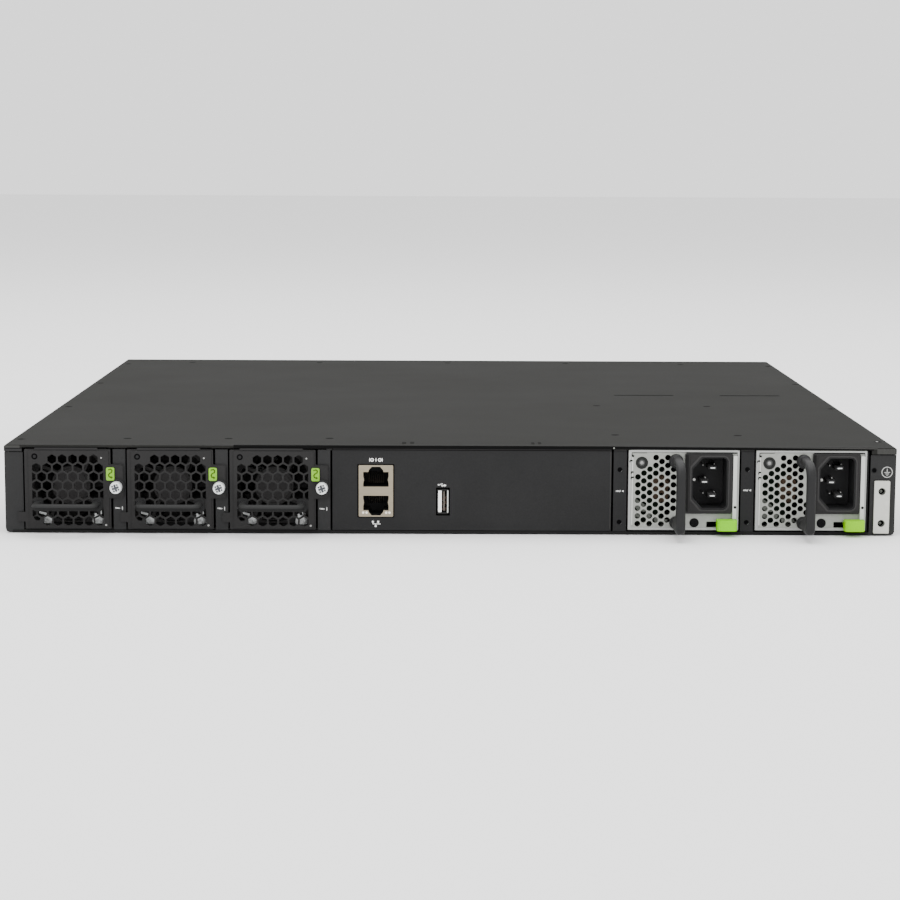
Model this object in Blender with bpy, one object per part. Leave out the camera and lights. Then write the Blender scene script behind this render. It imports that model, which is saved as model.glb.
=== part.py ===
"""One-unit rackmount network switch, seen from its power and cooling side at -Y.

The frame is metres, +Z up, with the origin at the middle of the bottom of the
bounding box. +X runs to the right when the power side is faced, and +Y runs
towards the port side. Helper functions take millimetres measured from the
rear plane (y = 0 on the rear plane, growing towards the ports).
"""

import math

import bpy
import bmesh
from mathutils import Vector
from mathutils.geometry import tessellate_polygon

# ---------------------------------------------------------------- dimensions
MM = 0.001
WIDTH = 440.0            # body without rack ears
HEIGHT = 43.6            # one rack unit less clearance
DEPTH = 440.0            # rear plane to port plane
HANDLE_REACH = 25.0      # supply handle in front of the rear plane
REAR_Y = -(DEPTH - HANDLE_REACH) / 2.0   # rear plane in the part's frame
SHEET = 1.2
GAP = 0.3

COVER_UNDER = 42.4
WALL_TOP = 40.0

FAN_COUNT = 3
FAN_LEFT = -210.0        # left edge of the first fan module's face
FAN_PITCH = 50.5
FAN_FACE_W = 42.4
FAN_FACE_Z = (1.8, 41.6)
FAN_MID_Z = 22.2
FAN_TRAY_DEPTH = 62.0
FAN_BORE_R = 17.8
FAN_HUB_R = 9.6
HEX_PITCH = 5.12
HEX_FLATS = 4.3
SCREW_DX = 45.8          # thumbscrew axis from the face's left edge
SCREW_Z = 23.5

PSU_LEFT = (87.8, 150.8)
PSU_W = 54.6
PSU_Z = (2.3, 42.1)
PSU_DEPTH = 222.0
PSU_SKIN = 0.8
INLET_Z = 25.85
INLET_DX = 40.0          # inlet centre from the supply's left edge
HANDLE_DX = 23.6         # handle centre from the supply's left edge

PORT_QSFP_PITCH = 20.6
PORT_SFP_PITCH = 14.4
CAGE_Z = (7.9, 30.7)

FAN_TRAVEL = 75.0
PSU_TRAVEL = 240.0

for _o in list(bpy.data.objects):
    bpy.data.objects.remove(_o, do_unlink=True)


# ------------------------------------------------------------------- helpers
def material(name, colour, rough, metal):
    mat = bpy.data.materials.new(name)
    mat.use_nodes = True
    shader = mat.node_tree.nodes["Principled BSDF"]
    shader.inputs["Base Color"].default_value = (*colour, 1.0)
    shader.inputs["Roughness"].default_value = rough
    shader.inputs["Metallic"].default_value = metal
    mat.diffuse_color = (*colour, 1.0)
    return mat


BLACK_STEEL = material("black_powder_coat", (0.035, 0.035, 0.036), 0.55, 0.0)
COVER_STEEL = material("cover_powder_coat", (0.06, 0.06, 0.057), 0.5, 0.0)
ZINC_STEEL = material("zinc_plated_steel", (0.56, 0.57, 0.55), 0.4, 0.9)
NICKEL = material("nickel_plate", (0.66, 0.66, 0.64), 0.3, 0.95)
SHELL_STEEL = material("jack_shield", (0.55, 0.5, 0.44), 0.4, 0.8)
BLACK_PLASTIC = material("black_plastic", (0.02, 0.02, 0.021), 0.5, 0.0)
FAN_PLASTIC = material("fan_plastic", (0.03, 0.03, 0.032), 0.6, 0.0)
GREEN_PLASTIC = material("green_touchpoint", (0.33, 0.62, 0.06), 0.45, 0.0)
TAG_GREEN = material("green_tag", (0.3, 0.55, 0.07), 0.5, 0.0)
BOARD_GREEN = material("board_green", (0.02, 0.12, 0.05), 0.5, 0.0)
ALUMINIUM = material("heatsink_aluminium", (0.6, 0.6, 0.6), 0.4, 0.9)
BRASS_PIN = material("pin_plate", (0.7, 0.66, 0.55), 0.25, 0.95)
LENS = material("lens", (0.5, 0.52, 0.5), 0.2, 0.0)


def place(p):
    """Millimetres from the rear plane to the part's frame in metres."""
    return Vector((p[0] * MM, (p[1] + REAR_Y) * MM, p[2] * MM))


AXES = {
    "X": lambda u, v, w: (w, u, v),   # outline in (y, z), length along x
    "Y": lambda u, v, w: (u, w, v),   # outline in (x, z), length along y
    "Z": lambda u, v, w: (u, v, w),   # outline in (x, y), length along z
}


def new_object(name, points, faces, mat):
    mesh = bpy.data.meshes.new(name)
    mesh.from_pydata([place(p) for p in points], [], faces)
    bm = bmesh.new()
    bm.from_mesh(mesh)
    bmesh.ops.remove_doubles(bm, verts=bm.verts, dist=1e-7)
    bmesh.ops.recalc_face_normals(bm, faces=bm.faces)
    bm.to_mesh(mesh)
    bm.free()
    mesh.materials.append(mat)
    obj = bpy.data.objects.new(name, mesh)
    bpy.context.scene.collection.objects.link(obj)
    return obj


def fill(loops):
    """Triangles over an outline with holes, as indices into the joined loops."""
    return [tuple(t) for t in tessellate_polygon([[Vector((u, v, 0.0)) for u, v in loop] for loop in loops])]


def prism(name, outline, lo, hi, axis, mat, holes=()):
    """A straight extrusion of an outline, with through holes."""
    to3 = AXES[axis]
    loops = [list(outline)] + [list(h) for h in holes]
    flat = [p for loop in loops for p in loop]
    n = len(flat)
    points = [to3(u, v, lo) for u, v in flat] + [to3(u, v, hi) for u, v in flat]
    caps = fill(loops)
    faces = [t for t in caps] + [(a + n, c + n, b + n) for a, b, c in caps]
    start = 0
    for loop in loops:
        k = len(loop)
        for i in range(k):
            a, b = start + i, start + (i + 1) % k
            faces.append((a, b, b + n, a + n))
        start += k
    return new_object(name, points, faces, mat)


def pocketed(name, outline, pockets, mouth, floor, back, axis, mat):
    """A block with blind pockets that open at the mouth plane."""
    to3 = AXES[axis]
    loops = [list(outline)] + [list(h) for h in pockets]
    flat = [p for loop in loops for p in loop]
    n0 = len(outline)
    points = [to3(u, v, mouth) for u, v in flat]
    base_back = len(points)
    points += [to3(u, v, back) for u, v in outline]
    base_floor = len(points)
    points += [to3(u, v, floor) for u, v in flat[n0:]]
    faces = list(fill(loops))
    faces += [tuple(base_back + i for i in t) for t in fill([outline])]
    for i in range(n0):
        j = (i + 1) % n0
        faces.append((i, j, base_back + j, base_back + i))
    start = n0
    for loop in loops[1:]:
        k = len(loop)
        for i in range(k):
            a, b = start + i, start + (i + 1) % k
            faces.append((a, b, base_floor + b - n0, base_floor + a - n0))
        faces += [tuple(base_floor + start - n0 + i for i in t) for t in fill([loop])]
        start += k
    return new_object(name, points, faces, mat)


def rect(u0, u1, v0, v1):
    return [(u0, v0), (u1, v0), (u1, v1), (u0, v1)]


def round_rect(u0, u1, v0, v1, r, n=2):
    pts = []
    for cu, cv, a0 in ((u1 - r, v0 + r, -90), (u1 - r, v1 - r, 0), (u0 + r, v1 - r, 90), (u0 + r, v0 + r, 180)):
        for i in range(n + 1):
            a = math.radians(a0 + 90.0 * i / n)
            pts.append((cu + r * math.cos(a), cv + r * math.sin(a)))
    return pts


def circle(cu, cv, r, n, turn=0.0):
    return [(cu + r * math.cos(2 * math.pi * (i + turn) / n), cv + r * math.sin(2 * math.pi * (i + turn) / n)) for i in range(n)]


def box(name, x, y, z, mat):
    return prism(name, rect(x[0], x[1], y[0], y[1]), z[0], z[1], "Z", mat)


def bake(obj):
    bpy.context.view_layer.update()
    graph = bpy.context.evaluated_depsgraph_get()
    mesh = bpy.data.meshes.new_from_object(obj.evaluated_get(graph))
    obj.modifiers.clear()
    old = obj.data
    obj.data = mesh
    bpy.data.meshes.remove(old)
    mesh.name = obj.name
    return obj


def combine(obj, others, operation):
    """A Boolean with each of the others, which are used up."""
    for other in others:
        mod = obj.modifiers.new("Boolean", "BOOLEAN")
        mod.operation = operation
        mod.solver = "EXACT"
        mod.object = other
    bake(obj)
    for other in others:
        bpy.data.objects.remove(other, do_unlink=True)
    mats = obj.data.materials
    while len(mats) > 1:
        mats.pop()
    for poly in obj.data.polygons:
        poly.material_index = 0
    return obj


def union(obj, *others):
    return combine(obj, others, "UNION")


def cut(obj, *others):
    return combine(obj, others, "DIFFERENCE")


def empty(name, at):
    obj = bpy.data.objects.new(name, None)
    obj.location = place(at)
    bpy.context.scene.collection.objects.link(obj)
    return obj


def settle(obj, origin=None, parent=None):
    """Moves an object's origin to a point of the rear frame, and parents it."""
    if origin is not None:
        at = place(origin)
        for v in obj.data.vertices:
            v.co -= at
        obj.location = at
    if parent is not None:
        obj.parent = parent
        obj.location = obj.location - parent.location
    return obj


def smooth(obj, degrees=35.0):
    obj.data.shade_smooth()
    obj.data.set_sharp_from_angle(angle=math.radians(degrees))
    return obj


# ------------------------------------------------------------------- chassis
def make_chassis_base():
    """Floor and both side walls in one folded sheet, with the rear corner flanges and board standoffs."""
    half = WIDTH / 2
    lip_in, lip_out = half - 2.4, half - SHEET
    right = [(half - 1.8, 0.0), (half - 0.5, 0.5), (half, 1.8), (half, WALL_TOP), (lip_out, WALL_TOP),
             (lip_out, COVER_UNDER - 0.4), (lip_in, COVER_UNDER - 0.4), (lip_in, WALL_TOP - SHEET), (lip_out, WALL_TOP - SHEET), (lip_out, SHEET)]
    left = [(-u, v) for u, v in reversed(right)]
    base = prism("chassis_base", right + left, 0.0, DEPTH - SHEET - GAP, "Y", BLACK_STEEL)
    parts = [
        box("f1", (-half + 0.6, -210.9), (0.0, SHEET), (0.6, WALL_TOP), BLACK_STEEL),
        prism("f2", rect(207.4, half - 0.6, 0.6, WALL_TOP), 0.0, SHEET, "Y", BLACK_STEEL,
              holes=[circle(213.3, 22.0, 1.65, 8, 0.5), circle(213.3, 6.0, 1.65, 8, 0.5), circle(209.3, 32.4, 0.9, 6, 0.5)]),
    ]
    for x, y in ((-200, 92), (-200, 250), (-200, 415), (-48, 20), (68, 20), (66, 235), (-40, 300), (60, 415), (200, 300), (200, 415)):
        parts.append(prism("s", circle(x, y, 3.0, 6), SHEET - 0.4, 5.7, "Z", BLACK_STEEL))
    union(base, *parts)
    cutters = []
    for side in (-1, 1):
        for y, z in EAR_HOLES:
            lo, hi = sorted((side * (half + 3), side * (half - 3)))
            cutters.append(prism("c", circle(y, z, 2.1, 8, 0.5), lo, hi, "X", BLACK_STEEL))
    return cut(base, *cutters)


EAR_HOLES = [(y, z) for y in (398.0, 424.0) for z in (9.0, 31.0)] + [(y, 20.0) for y in (30.0, 62.0)]


def make_top_cover():
    half = WIDTH / 2
    outline = [(-half, 40.4), (-half + 0.9, 40.4), (-half + 0.9, COVER_UNDER), (half - 0.9, COVER_UNDER), (half - 0.9, 40.4), (half, 40.4),
               (half, HEIGHT - 0.6), (half - 0.6, HEIGHT), (-half + 0.6, HEIGHT), (-half, HEIGHT - 0.6)]
    cover = prism("top_cover", outline, -0.6, DEPTH, "Y", COVER_STEEL)
    union(cover, box("a", (-half + 2.8, -211.2), (-0.6, 0.5), (40.4, 43.0), COVER_STEEL), box("b", (207.7, half - 2.8), (-0.6, 0.5), (40.4, 43.0), COVER_STEEL))
    slots = [prism("c", rect(x + 10.5, x + 45.5, 228.6, 229.8), 41.0, 45.0, "Z", COVER_STEEL) for x in PSU_LEFT]
    return cut(cover, *slots)


def make_front_panel():
    half = WIDTH / 2
    holes = [rect(a - 0.5, b + 0.5, CAGE_Z[0] - 0.5, CAGE_Z[1] + 0.5) for a, b in CAGES]
    for i in range(20):
        x = 60.5 + 7.5 * i
        holes.append([(x - 2.3, 8.5), (x, 6.8), (x + 2.3, 8.5), (x + 2.3, 33.5), (x, 35.2), (x - 2.3, 33.5)])
    for i in range(14):
        x = -196 + 17.6 * i
        holes.append([(x - 7.6, 37.0), (x - 6.2, 35.1), (x + 6.2, 35.1), (x + 7.6, 37.0), (x + 6.2, 38.9), (x - 6.2, 38.9)])
    holes.append(rect(-207.6, -202.4, 8.6, 29.8))
    outline = [(-half + 1.0, 0.0), (half - 1.0, 0.0), (half, 1.0), (half, 39.9), (half - 1.5, 39.9), (half - 1.5, 42.0), (-half + 1.5, 42.0), (-half + 1.5, 39.9), (-half, 39.9), (-half, 1.0)]
    return prism("front_panel", outline, DEPTH - SHEET, DEPTH, "Y", BLACK_STEEL, holes=holes)


QSFP_BLOCK = 4 * PORT_QSFP_PITCH + 0.8
SFP_BLOCK = 2 * PORT_SFP_PITCH + 0.8
CAGES = [(-190.0, -190.0 + QSFP_BLOCK), (-99.0, -99.0 + QSFP_BLOCK), (-5.0 + 0.0, -5.0 + SFP_BLOCK)]


def make_io_panel():
    """Centre rear plate with its two folded ends."""
    plate = prism("io_panel", rect(-58.4, 79.4, 1.6, 41.8), 0.0, SHEET, "Y", BLACK_STEEL,
                  holes=[rect(-45.9, -27.9, 8.1, 34.4), rect(-7.2, -0.4, 9.0, 23.0)])
    return union(plate, box("a", (-58.4, -57.2), (0.6, 12.0), (1.6, 41.8), BLACK_STEEL), box("b", (78.2, 79.4), (0.6, 12.0), (1.6, 41.8), BLACK_STEEL))


def fan_left(k):
    return FAN_LEFT + FAN_PITCH * k


def make_fan_cage():
    """Floor of the fan bays with three dividers, each ending in a rear strip that takes a thumbscrew."""
    cage = box("fan_cage", (-217.0, -59.6), (1.6, 66.0), (1.5, 2.1), BLACK_STEEL)
    parts = []
    for k in range(FAN_COUNT):
        right = fan_left(k) + FAN_FACE_W + 1.0
        mid = fan_left(k) + SCREW_DX
        parts.append(prism("s", rect(right, right + 6.2, 1.5, 41.6), 0.0, 1.0, "Y", BLACK_STEEL, holes=[circle(mid, SCREW_Z, 1.9, 10)]))
        parts.append(box("d", (right + 4.6, right + 5.6), (0.5, 66.0), (1.5, 41.6), BLACK_STEEL))
    return union(cage, *parts)


def make_psu_cage():
    """Floor and dividers of the two supply bays, with two rear strips."""
    cage = box("psu_cage", (86.0, 206.8), (1.6, 224.0), (1.5, 2.0), BLACK_STEEL)
    parts = [
        prism("s", rect(80.4, 86.9, 1.5, 41.6), 0.0, 1.0, "Y", BLACK_STEEL, holes=[circle(83.5, 32.3, 0.9, 6, 0.5), circle(83.5, 6.1, 0.9, 6, 0.5)]),
        prism("t", rect(143.4, 149.8, 1.5, 41.6), 0.0, 1.0, "Y", BLACK_STEEL, holes=[circle(146.5, 32.6, 0.9, 6, 0.5), circle(146.5, 6.2, 0.9, 6, 0.5)]),
        box("a", (86.0, 86.9), (0.5, 224.0), (1.5, 41.6), BLACK_STEEL),
        box("b", (147.6, 148.6), (0.5, 224.0), (1.5, 41.6), BLACK_STEEL),
        box("c", (206.0, 206.8), (1.6, 224.0), (1.5, 41.6), BLACK_STEEL),
    ]
    return union(cage, *parts)


def make_ground_pad():
    return prism("ground_pad", rect(209.2, 217.6, 1.0, 27.3), -1.3, -0.3, "Y", NICKEL, holes=[circle(213.3, 22.0, 1.65, 12), circle(213.3, 6.0, 1.65, 12)])


def make_boards():
    outline = [(-56, 3), (77, 3), (77, 245), (214, 245), (214, 434), (-214, 434), (-214, 78), (-56, 78)]
    prism("main_board", outline, 6.0, 7.6, "Z", BOARD_GREEN)
    fins = [(-60.0, 10.0), (20.0, 10.0)]
    top, root = 38.0, 14.0
    n = 16
    step = 80.0 / n
    comb = []
    for i in range(n):
        x1 = 20.0 - step * i
        comb += [(x1, top), (x1 - 1.6, top), (x1 - 1.6, root), (x1 - step, root)]
    comb[-1] = (-60.0, root)
    prism("asic_heatsink", fins + comb, 250.0, 320.0, "Y", ALUMINIUM)
    cpu = box("cpu_board", (-52, 70), (100, 195), (14.0, 15.6), BOARD_GREEN)
    union(cpu, box("a", (-46, 64), (104, 112), (7.9, 14.4), BOARD_GREEN), box("b", (-46, 64), (183, 191), (7.9, 14.4), BOARD_GREEN))
    top, root, n, width = 38.0, 20.0, 10, 60.0
    step = width / n
    comb = [(-20.0, 16.0), (40.0, 16.0)]
    for i in range(n):
        x1 = 40.0 - step * i
        comb += [(x1, top), (x1 - 1.8, top), (x1 - 1.8, root), (x1 - step, root)]
    comb[-1] = (-20.0, root)
    prism("cpu_heatsink", comb, 118.0, 178.0, "Y", ALUMINIUM)
    board = box("fan_board", (-212, -61), (69.0, 70.6), (8.2, 20.0), BOARD_GREEN)
    parts = []
    for k in range(FAN_COUNT):
        c = fan_left(k) + FAN_FACE_W / 2
        parts.append(box("c", (c - 9, c + 9), (63.5, 69.4), (9.0, 17.0), BOARD_GREEN))
    union(board, *parts)
    power = box("power_board", (88, 212), (240.0, 241.6), (8.4, 38.0), BOARD_GREEN)
    parts = []
    for x0 in PSU_LEFT:
        c = x0 + PSU_W / 2
        slot = pocketed("p", rect(c - 21, c + 21, 3.4, 12.4), [rect(c - 18.6, c + 18.6, 5.9, 8.7)], 225.0, 236.0, 240.5, "Y", BOARD_GREEN)
        parts.append(slot)
    union(power, *parts)


def rj45_hole(cx, z_flat, up):
    """Jack opening: full-width body, then the two latch steps."""
    s = 1.0 if up else -1.0
    return [(cx + u, z_flat + s * v) for u, v in ((-6.2, 0), (6.2, 0), (6.2, 6.9), (3.6, 6.9), (3.6, 8.4), (2.0, 8.4), (2.0, 9.5), (-2.0, 9.5), (-2.0, 8.4), (-3.6, 8.4), (-3.6, 6.9), (-6.2, 6.9))]


def make_io_ports():
    cx = -36.9
    pocketed("management_jack", rect(cx - 8.5, cx + 8.5, 8.4, 34.1), [rj45_hole(cx, 23.4, True), rj45_hole(cx, 18.9, False)], -0.5, 16.0, 24.5, "Y", SHELL_STEEL)
    usb = pocketed("usb_port", rect(-6.8, -0.8, 9.4, 22.6), [rect(-6.4, -1.2, 9.8, 22.2)], -0.5, 9.5, 17.0, "Y", NICKEL)
    union(usb, box("t", (-5.3, -3.4), (0.8, 11.0), (10.5, 21.5), NICKEL))
    # stands on the board through a short foot
    union(usb, box("u", (-6.0, -1.6), (10.5, 16.5), (7.9, 10.0), NICKEL))


def make_cages():
    for name, (a, b), pitch, w, cols in (("qsfp_cage_left", CAGES[0], PORT_QSFP_PITCH, 18.8, 4), ("qsfp_cage_right", CAGES[1], PORT_QSFP_PITCH, 18.8, 4), ("sfp_cage", CAGES[2], PORT_SFP_PITCH, 13.8, 2)):
        pockets = []
        for c in range(cols):
            x = a + 0.4 + pitch * (c + 0.5)
            for z0, z1 in ((9.0, 17.9), (20.7, 29.6)):
                pockets.append(rect(x - w / 2, x + w / 2, z0, z1))
        pocketed(name, rect(a, b, CAGE_Z[0], CAGE_Z[1]), pockets, DEPTH - 0.2, DEPTH - 44.0, DEPTH - 50.0, "Y", ZINC_STEEL)
    pipe = box("status_light_pipe", (-207.2, -202.8), (DEPTH - 12.0, DEPTH - 0.4), (8.9, 29.5), LENS)
    return pipe


# --------------------------------------------------------------- fan modules
def hexagons(left):
    """Centres of the grille's openings, row by row from the top."""
    out = []
    for row in range(8):
        z = 36.7 - 4.42 * row
        even = row % 2 == 1
        count = 7 if even else 6
        first = left + (5.7 if even else 5.7 + HEX_PITCH / 2)
        for i in range(count):
            if row == 0 and i == 0:
                continue
            if row == 7 and i == 0:
                continue
            out.append((first + HEX_PITCH * i, z))
    return out


def blades(name, mid, hub_r, tip_r, y0, y1, count, sweep, thick, mat, sides):
    """Hub with twisted blades, about an axis along y through mid = (x, z)."""
    hub = prism(name, circle(mid[0], mid[1], hub_r, sides), y0, y1, "Y", mat)
    made = []
    for b in range(count):
        a0 = 2 * math.pi * b / count
        pts = []
        for y, a in ((y0 + 1.0, a0), (y1 - 1.0, a0 + sweep)):
            for r in (hub_r - 1.2, tip_r):
                half = thick / 2.0
                ca, sa = math.cos(a), math.sin(a)
                for s in (-1, 1):
                    pts.append((mid[0] + r * ca - s * half * sa, y, mid[1] + r * sa + s * half * ca))
        faces = [(0, 1, 3, 2), (4, 6, 7, 5), (0, 2, 6, 4), (1, 5, 7, 3), (0, 4, 5, 1), (2, 3, 7, 6)]
        made.append(new_object("blade", pts, faces, mat))
    return union(hub, *made)


def fan_frame(name, x, z, y, bore, hub_r, mat, sides, strut_y):
    """Square fan housing with a round duct, a motor seat and four struts."""
    cx, cz = (x[0] + x[1]) / 2, (z[0] + z[1]) / 2
    frame = prism(name, rect(x[0], x[1], z[0], z[1]), y[0], y[1], "Y", mat, holes=[circle(cx, cz, bore, sides, 0.5)])
    parts = [prism("h", circle(cx, cz, hub_r, 16), strut_y[0], strut_y[1], "Y", mat)]
    for a in (45, 135, 225, 315):
        c, s = math.cos(math.radians(a)), math.sin(math.radians(a))
        w = 1.1
        quad = [(cx + (hub_r - 1.5) * c - w * s, cz + (hub_r - 1.5) * s + w * c), (cx + (hub_r - 1.5) * c + w * s, cz + (hub_r - 1.5) * s - w * c),
                (cx + (bore + 1.2) * c + w * s, cz + (bore + 1.2) * s - w * c), (cx + (bore + 1.2) * c - w * s, cz + (bore + 1.2) * s + w * c)]
        parts.append(prism("s", quad, strut_y[0] + 0.2, strut_y[1] - 0.2, "Y", mat))
    return union(frame, *parts)


def make_fan_module(k):
    left = fan_left(k)
    tag = f"fan{k + 1}_"
    mid = left + FAN_FACE_W / 2
    at = (mid, 0.0, FAN_MID_Z)
    carrier = empty(tag + "module", at)
    z0, z1 = FAN_FACE_Z
    right = left + FAN_FACE_W
    # face with the hooked tab on the left and the screw ear on the right
    outline = [(left, z0), (right, z0), (right, 17.2), (right + 6.4, 17.2), (right + 6.4, 34.2), (right, 34.2), (right, z1), (left, z1), (left, 10.2), (left - 3.8, 10.2), (left - 3.8, 5.4), (left, 5.4)]
    holes = [circle(u, v, HEX_FLATS / math.sqrt(3), 6, 0.5) for u, v in hexagons(left)]
    holes.append(circle(left + SCREW_DX, SCREW_Z, 1.9, 10))
    grille = prism(tag + "grille", outline, -1.4, -0.4, "Y", BLACK_STEEL, holes=holes)
    settle(grille, at, carrier)
    # tray: a channel open at the top, closed at its far end by a connector plate
    tray = prism(tag + "tray", [(left + 0.6, 2.4), (right - 0.6, 2.4), (right - 0.6, 41.3), (right - 1.4, 41.3), (right - 1.4, 3.2), (left + 1.4, 3.2), (left + 1.4, 41.3), (left + 0.6, 41.3)],
                 0.0, FAN_TRAY_DEPTH - 1.0, "Y", BLACK_STEEL)
    union(tray, box("b", (left + 0.6, right - 0.6), (FAN_TRAY_DEPTH - 1.8, FAN_TRAY_DEPTH - 1.0), (2.4, 19.0), BLACK_STEEL), box("c", (mid - 8, mid + 8), (FAN_TRAY_DEPTH - 8.0, FAN_TRAY_DEPTH), (9.4, 16.6), BLACK_STEEL))
    settle(tray, at, carrier)
    frame = fan_frame(tag + "frame", (mid - 19.2, mid + 19.2), (3.6, 40.8), (8.5, 36.5), FAN_BORE_R, FAN_HUB_R, FAN_PLASTIC, 20, (8.5, 11.5))
    settle(frame, at, carrier)
    rotor = blades(tag + "rotor", (mid, FAN_MID_Z), 9.4, 17.0, 12.2, 34.5, 5, 0.95, 1.1, FAN_PLASTIC, 16)
    settle(smooth(rotor), (mid, 23.0, FAN_MID_Z), carrier)
    # stout U-shaped pull, lying level, with two foot plates on the face
    pull = prism(tag + "handle", [(mid - 14.9, -16.0), (mid + 14.9, -16.0), (mid + 16.2, -14.7), (mid + 16.2, -1.7), (mid + 12.4, -1.7), (mid + 12.4, -11.2), (mid + 11.6, -12.0),
                                  (mid - 11.6, -12.0), (mid - 12.4, -11.2), (mid - 12.4, -1.7), (mid - 16.2, -1.7), (mid - 16.2, -14.7)], 12.9, 16.3, "Z", BLACK_STEEL)
    union(pull, box("l", (mid - 16.8, mid - 12.0), (-2.7, -1.7), (10.8, 17.6), BLACK_STEEL), box("r", (mid + 12.0, mid + 16.8), (-2.7, -1.7), (10.8, 17.6), BLACK_STEEL))
    settle(pull, at, carrier)
    # captive thumbscrew through the ear and the strip
    sx = left + SCREW_DX
    head = prism(tag + "thumbscrew", circle(sx, SCREW_Z, 3.3, 16), -9.5, -2.9, "Y", NICKEL)
    union(head, prism("s", circle(sx, SCREW_Z, 1.5, 10), -3.4, 7.0, "Y", NICKEL))
    settle(smooth(head), (sx, 0.0, SCREW_Z), carrier)
    label = prism(tag + "tag", round_rect(left + 40.2, left + 44.7, 26.1, 33.2, 0.7, 1), -2.5, -1.7, "Y", TAG_GREEN)
    settle(label, at, carrier)


# ------------------------------------------------------------ power supplies
def psu_perforation(x0):
    """Round holes in staggered columns; the last one is short, beside the handle."""
    out = []
    for col, (first, count) in enumerate(((28.7, 7), (30.65, 7), (32.6, 8), (38.4, 9), (36.45, 9), (38.4, 9), (32.6, 6), (15.05, 2))):
        for i in range(count):
            out.append((x0 + 4.7 + 2.93 * col, first - 3.9 * i))
    return out


def inlet_outline(cx):
    """Cavity of the three-pole inlet turned on its side, chamfered towards -X."""
    w, h = 8.4, 12.55
    return [(cx + w, INLET_Z - h + 1.5), (cx + w, INLET_Z + h - 1.5), (cx + w - 1.5, INLET_Z + h), (cx - w + 4.9, INLET_Z + h), (cx - w, INLET_Z + h - 5.6),
            (cx - w, INLET_Z - h + 5.6), (cx - w + 4.9, INLET_Z - h), (cx + w - 1.5, INLET_Z - h)]


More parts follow.
